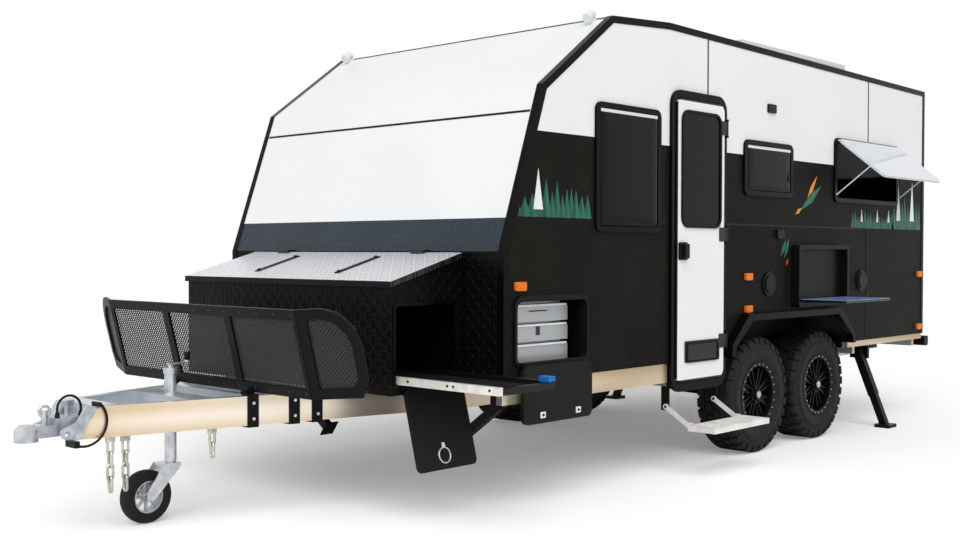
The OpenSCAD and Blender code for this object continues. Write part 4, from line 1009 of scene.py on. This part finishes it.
class TRAILER_OT_panes(bpy.types.Operator):
    """Bulged acrylic window panes and the rails that they hang from, pale as a painted highlight along each
    pane's top
    """

    bl_idname = "trailer.panes"
    bl_label = "Panes"

    INSET = 33  # how far within its frame a pane begins
    # Frames as x, x, z, z and the side of the trailer
    WINDOWS = ((3952, 4600, 1495, 2241, 1), (2305, 2970, 1763, 2139, 1), (3952, 4600, 1495, 2241, -1),
               (540, 1660, 1757, 2242, -1))

    def execute(self, context):
        bm, rails = bmesh.new(), []
        for x0, x1, z0, z1, side in self.WINDOWS:
            centre = at((x0 + x1) / 2, side * WALL, (z0 + z1) / 2)
            self.pane(bm, centre, side, (x1 - x0 - 2 * self.INSET) * MM, (z1 - z0 - 2 * self.INSET) * MM)
            top, ends = z1 - self.INSET - 4, self.INSET + 10
            y = sorted((side * (WALL + 6), side * (WALL + 17)))
            rails.append((at(x0 + ends, y[0], top - 20), at(x1 - ends, y[1], top)))
        piece = finish_mesh("acrylic_panes", bm, "acrylic", "glazing", smooth=True)
        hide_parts("window_panes")
        # Each hinge rail is pale: a painted highlight along the top of its pane
        boxed("pane_hinge_rails_painted_highlight", rails, "sash", "zinc", 3.0)
        return {"FINISHED"}

    def pane(self, bm, centre, side, width, height):
        """A pane on a side wall whose face swells outward from a rounded rim."""
        radius, depth, rise = 18 * MM, 9 * MM, 9 * MM
        rings = []
        for scale, lift in ((1.0, 0.0), (1.0, depth), (0.97, depth + rise * 0.55), (0.9, depth + rise * 0.85),
                            (0.7, depth + rise)):
            points = ring_outline(width * scale, height - width * (1 - scale), radius * scale)
            rings.append([bm.verts.new(centre + Vector((u, side * lift, v))) for u, v in points])
        for a, b in zip(rings, rings[1:]):
            bridge(bm, a, b)
        bm.faces.new(rings[-1])
        bm.faces.new(rings[0])


class TRAILER_OT_latches(bpy.types.Operator):
    """Straps, latches, pulls, rims, grips, grilles, mats and ribs"""

    bl_idname = "trailer.latches"
    bl_label = "Latches"

    # Profiles of the crank's grip and the hatch's ring as radius and height, in metres
    GRIP = [(0.0105, 0.0), (0.013, 0.0), (0.0155, 0.008), (0.0145, 0.022), (0.0165, 0.036), (0.014, 0.0455),
            (0.0105, 0.0455)]
    RING = [(0.036, 0.0), (0.045, 0.0), (0.043, 0.006), (0.038, 0.006)]

    def execute(self, context):
        self.lid_straps()
        self.galley_latches()
        self.drawer_pulls()
        self.hatch_ring()
        self.hatch_lip()
        self.tray_fittings()
        self.door_rings()
        self.cooler_grilles()
        self.step_ribs()
        self.crank_grip()
        return {"FINISHED"}

    def lid_straps(self):
        """Hinge straps on the front box's lid, and a flat along its front edge."""
        length, fall, thick = 532, 150, 30  # the front box's top along X, its fall, and the lid's thickness
        ahead, drop = 24, 0.282  # how far ahead of the nose's foot the lid begins, and its slope
        run = Vector((1, 0, -fall / length)).normalized()
        up = Vector((fall / length, 0, 1)).normalized()
        under = NOSE_FOOT[1] - 36 - ahead * drop + 6  # height of the lid's underside at its rear
        top = at(NOSE_FOOT[0] + ahead, 0, under + thick)
        bm = bmesh.new()
        for y in (-0.36, 0.36):
            start = top + run * 0.10 + OUT * y
            strip(bm, start, start + run * 0.32, 0.035, 0.006, up)
            for along in (0.02, 0.30):
                disc(bm, start + run * along + up * 0.006, up, 0.012, 0.006, 16)
        finish_mesh("lid_straps", bm, "powder", "black_metal", 1.0, "box_lid")
        low, high = corners("box_lid")
        front = at(NOSE_FOOT[0] + length + 14, 0, 0).x
        edge = (under - (length - 10) * drop) * MM
        boxed("lid_edge", [((front, low.y, edge - 0.002), (front + 0.003, high.y, edge + 0.031))],
              "powder", "black_metal", 1.0, "box_lid")

    def galley_latches(self):
        """Two square latches on the galley's door, each with a dark pin."""
        low, high = corners("galley_door")
        plates, pins = [], bmesh.new()
        for share in (0.22, 0.74):
            spot = Vector((low.x + (high.x - low.x) * share, high.y, low.z + 0.045))
            plates.append((spot - Vector((0.021, 0, 0.017)), spot + Vector((0.021, 0.006, 0.017))))
            disc(pins, spot + OUT * 0.006, OUT, 0.008, 0.003, 20)
        boxed("galley_latches", plates, "bright", "zinc", 2.0, "galley_door")
        finish_mesh("galley_latch_pins", pins, "plastic", "black_plastic", body="galley_door")

    def drawer_pulls(self):
        """Bright pull rails along the drawers' upper edges, and two dark catches."""
        low, high = corners("galley_drawers")
        pitch = (high.z - low.z) / 3
        tops = [low.z + i * pitch - 0.022 for i in range(1, 4)]
        boxed("drawer_pulls", [((low.x + 0.02, high.y - 0.001, z), (high.x - 0.02, high.y + 0.002, z + 0.010))
                               for z in tops], "bright", "plate", 0.6)
        middle, face = (low.x + high.x) / 2, high.y - 0.008
        catches = ((0.014, 0.005, 1.32, 1.78), (0.075, 0.004, 2.52, 2.58))  # half width, depth, foot, top
        boxed("drawer_catches", [((middle - half, face, low.z + pitch * foot),
                                  (middle + half, face + depth, low.z + pitch * top))
                                 for half, depth, foot, top in catches], "weave", "black_metal", 1.0)

    def hatch_ring(self):
        """A ring latch with a tab above it, low on the front box's open hatch."""
        low, high = corners("front_hatch_door")
        tilt = math.radians(15)
        out = Vector((0, math.cos(tilt), math.sin(tilt)))
        spot = Vector(((low.x + high.x) / 2 + 0.02, high.y - 0.018, low.z + 0.075))
        turn = Vector((0, 0, 1)).rotation_difference(out).to_matrix().to_4x4()
        bm = bmesh.new()
        lathe(bm, self.RING, Matrix.Translation(spot) @ turn, 32)
        up = turn.to_3x3() @ -OUT
        strip(bm, spot + up * 0.040, spot + up * 0.066, 0.022, 0.007, out)
        finish_mesh("hatch_ring_latch", bm, "zinc", "zinc", 1.0)

    def hatch_lip(self):
        """A pressed lip round three sides of the front box's hatch."""
        bm = bmesh.new()
        for x0, z0, x1, z1 in ((5424, 700, 5424, 1118), (5883, 700, 5883, 1118), (5433, 1109, 5874, 1109)):
            strip(bm, at(x0, WALL - 290, z0), at(x1, WALL - 290, z1), 18 * MM, 6 * MM, OUT)
        finish_mesh("hatch_lip", bm, "gloss", "black_metal", 2.0)

    def tray_fittings(self):
        """A blue catch, a ribbed rubber mat and the slide's screws."""
        low, high = corners("tray")
        boxed("tray_catch", [((low.x - 0.003, high.y - 0.075, high.z - 0.028),
                              (low.x + 0.045, high.y - 0.001, high.z + 0.002))], "blue", "zinc", 4.0, "tray")
        floor = low.z + 12 * MM
        mat = [((low.x + 0.034, low.y + 0.034, floor), (high.x - 0.032, high.y - 0.038, floor + 0.003))]
        for i in range(16):
            x = low.x + 0.045 + i * 0.0215
            mat.append(((x, low.y + 0.04, floor + 0.002), (x + 0.008, high.y - 0.045, floor + 0.006)))
        boxed("tray_mat", mat, "tyre", "tyre", 0.8, "tray")
        bm = bmesh.new()
        for y in (0.06, 0.30, 0.34, 0.62):
            disc(bm, Vector((high.x, high.y - y, low.z + 0.022)), Vector((1, 0, 0)), 0.007, 0.003, 12)
        finish_mesh("tray_screws", bm, "plastic", "black_plastic", body="tray")

    def door_rings(self):
        """Rims round the entry door's vent and its window."""
        vent = at(3322, 0, 697) + Vector((0.016, 0, 0)), at(3699, 0, 801) - Vector((0.016, 0, 0))
        self.frame_ring("door_vent_rim", *vent, DOOR_FACE + 8 * MM, 0.004, 0.014, 0.014, 1.0)
        self.frame_ring("door_window_ring", *corners("door_pane"), DOOR_FACE, 0.012, 0.020, 0.050, 2.0)

    def frame_ring(self, name, low, high, y, depth, width, corner, bevel_mm):
        """A rounded ring on the door's face, round what lies between two corners."""
        bm = bmesh.new()
        centre = (low + high) / 2
        rings = []
        for grow in (0.0, width):
            points = ring_outline(high.x - low.x + 2 * grow - 0.004, high.z - low.z + 2 * grow - 0.004,
                                  corner + grow)
            for lift in (0.0, depth):
                rings.append([bm.verts.new(Vector((centre.x + u, y + lift, centre.z + v)))
                              for u, v in points])
        for a, b in ((0, 1), (1, 3), (3, 2), (2, 0)):
            bridge(bm, rings[a], rings[b])
        finish_mesh(name, bm, "gloss", "black_plastic", bevel_mm, "entry_door")

    def cooler_grilles(self):
        """Bars over the air ways in the two ends of the roof unit."""
        low, high = corners("air_conditioner")
        spots = [(x, high.z - 0.086 + i * 0.017) for i in range(4) for x in (low.x - 0.003, high.x - 0.001)]
        bars = [((x, low.y + 0.14, z), (x + 0.004, high.y - 0.14, z + 0.009)) for x, z in spots]
        boxed("cooler_grilles", bars, "plastic", "black_plastic", 0.8)

    def step_ribs(self):
        """Ribs across the step's tread."""
        low, high = corners("step_tread")
        top = 0.320  # height of the tread's upper face
        rows = [low.y + 0.052 + i * 0.0205 for i in range(9)]
        boxed("step_ribs", [((low.x + 0.02, y, top), (high.x - 0.02, y + 0.007, top + 0.003)) for y in rows],
              "bright", "plate", 0.6, "step_tread")

    def crank_grip(self):
        """A turned grip on the jack's crank."""
        low, high = corners("jack_tube")
        bm = bmesh.new()
        lathe(bm, self.GRIP, Matrix.Translation((low.x + 0.011, MIDDLE_Y, high.z - 0.046)), 32)
        finish_mesh("crank_grip", bm, "plastic", "black_plastic", smooth=True)


class TRAILER_PT_sidebar(bpy.types.Panel):
    """Lists the trailer's sizes and pieces"""

    bl_idname = "TRAILER_PT_sidebar"
    bl_label = "Trailer"
    bl_space_type = "VIEW_3D"
    bl_region_type = "UI"
    bl_category = "Trailer"

    def draw(self, context):
        for name in TrailerSizes.__annotations__:
            self.layout.prop(context.scene.trailer_sizes, name)
        for operator in OPERATORS:
            self.layout.operator(operator.bl_idname)


OPERATORS = (TRAILER_OT_stage, TRAILER_OT_cables, TRAILER_OT_finishes, TRAILER_OT_tyres,
             TRAILER_OT_wheel_trim, TRAILER_OT_guard_mesh, TRAILER_OT_wall_trim, TRAILER_OT_panes,
             TRAILER_OT_latches)
CLASSES = (TrailerSizes,) + OPERATORS + (TRAILER_PT_sidebar,)


def register():
    for cls in CLASSES:
        bpy.utils.register_class(cls)
    bpy.types.Scene.trailer_sizes = PointerProperty(type=TrailerSizes)


def unregister():
    del bpy.types.Scene.trailer_sizes
    for cls in reversed(CLASSES):
        bpy.utils.unregister_class(cls)


def main():
    register()
    bpy.ops.trailer.stage()
    bpy.ops.trailer.cables()
    bpy.ops.trailer.finishes()
    bpy.ops.trailer.tyres()
    bpy.ops.trailer.wheel_trim()
    bpy.ops.trailer.guard_mesh()
    bpy.ops.trailer.wall_trim()
    bpy.ops.trailer.panes()
    bpy.ops.trailer.latches()
    bpy.context.view_layer.update()


if __name__ == "__main__":
    main()
